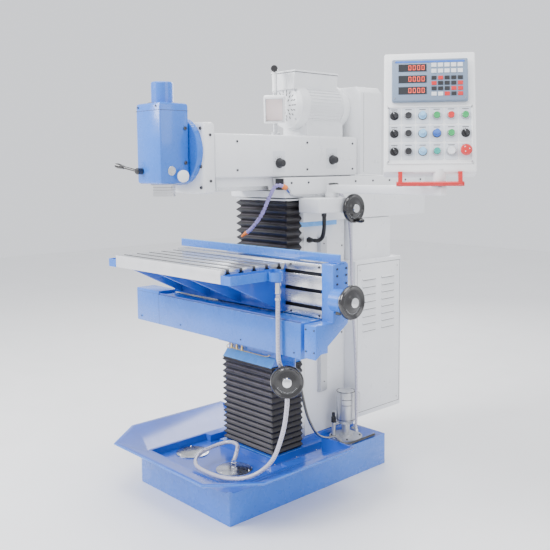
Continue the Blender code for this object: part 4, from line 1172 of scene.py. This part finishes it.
def make_nozzle_hose():
    """Ball-jointed coolant hose: orange ends and a chain of purple segments."""
    supply = Piece("coolant_pipe", "base", STEEL, 0, "ground_steel")
    supply.tube(smooth_path([(0.186, 0.275, 1.236), (0.181, 0.262, 1.2362),
                             (0.180, 0.10, 1.2362), (0.180, 0.0, 1.238),
                             (0.183, -0.030, 1.262)]), 0.0040, 12)
    supply.rod(0.0085, (0.1835, -0.024, 1.254), (0.1845, -0.038, 1.268), 6)
    supply.rod(0.0080, (0.186, 0.268, 1.236), (0.186, 0.283, 1.236), 6)
    supply.done()
    pump = Piece("pump_outlet", "base", STEEL, 0, "ground_steel")
    pump.rod(0.0085, (0.240, 0.300, 0.186), (0.272, 0.300, 0.186), 8, 0.001)
    pump.rod(0.0080, (0.263, 0.300, 0.186), (0.263, 0.300, 0.204), 6)
    pump.done()
    path = smooth_path([(0.185, -0.040, 1.270), (0.174, -0.066, 1.281), (0.157, -0.080, 1.276),
                        (0.141, -0.086, 1.248), (0.126, -0.090, 1.2214), (0.099, -0.100, 1.163),
                        (0.0464, -0.110, 1.103), (0.010, -0.114, 1.0780)], 10)
    core = Piece("nozzle_core", "base", PURPLE, 0, "knob_blue").tube(path, 0.0052, 12)
    core = core.done()
    total = length_of(path)
    beads = Piece("nozzle_segments", "base", PURPLE, 0, "knob_blue")
    ends = Piece("nozzle_ends", "base", ORANGE, 0, "red")
    gone, due = 0.0, 0.020
    for a, b in zip(path, path[1:]):
        gone += (b - a).length
        if gone >= due and due < total - 0.012:
            beads.turned([(0.0050, -0.0062), (0.0068, -0.0060), (0.0082, -0.0022),
                          (0.0082, 0.0012), (0.0062, 0.0052), (0.0050, 0.0056)],
                         along(a.lerp(b, 0.5), b - a), 18)
            due += 0.0125
    ends.turned([(0.0053, 0), (0.0100, 0), (0.0106, 0.004), (0.0106, 0.016), (0.0080, 0.021),
                 (0.0053, 0.022)], along(path[0], path[2] - path[0]), 20)
    ends.turned([(0.0053, -0.012), (0.0085, -0.012), (0.0092, -0.004), (0.0052, 0.026),
                 (0.0030, 0.026), (0.0030, 0.004), (0.0053, 0.001)],
                along(path[-1], path[-1] - path[-3]), 20)
    beads.done()
    ends.done()


def main():
    make_stage()
    make_tray()
    make_pump_details()
    make_column_details()
    make_cabinet_details()
    make_guide_details()
    make_covers()
    make_knee_details()
    make_table_details()
    make_wheels()
    make_ram_details()
    make_motor_details()
    make_head_details()
    make_lamp_details()
    make_panel_details()
    make_arm_details()
    make_hoses()


main()
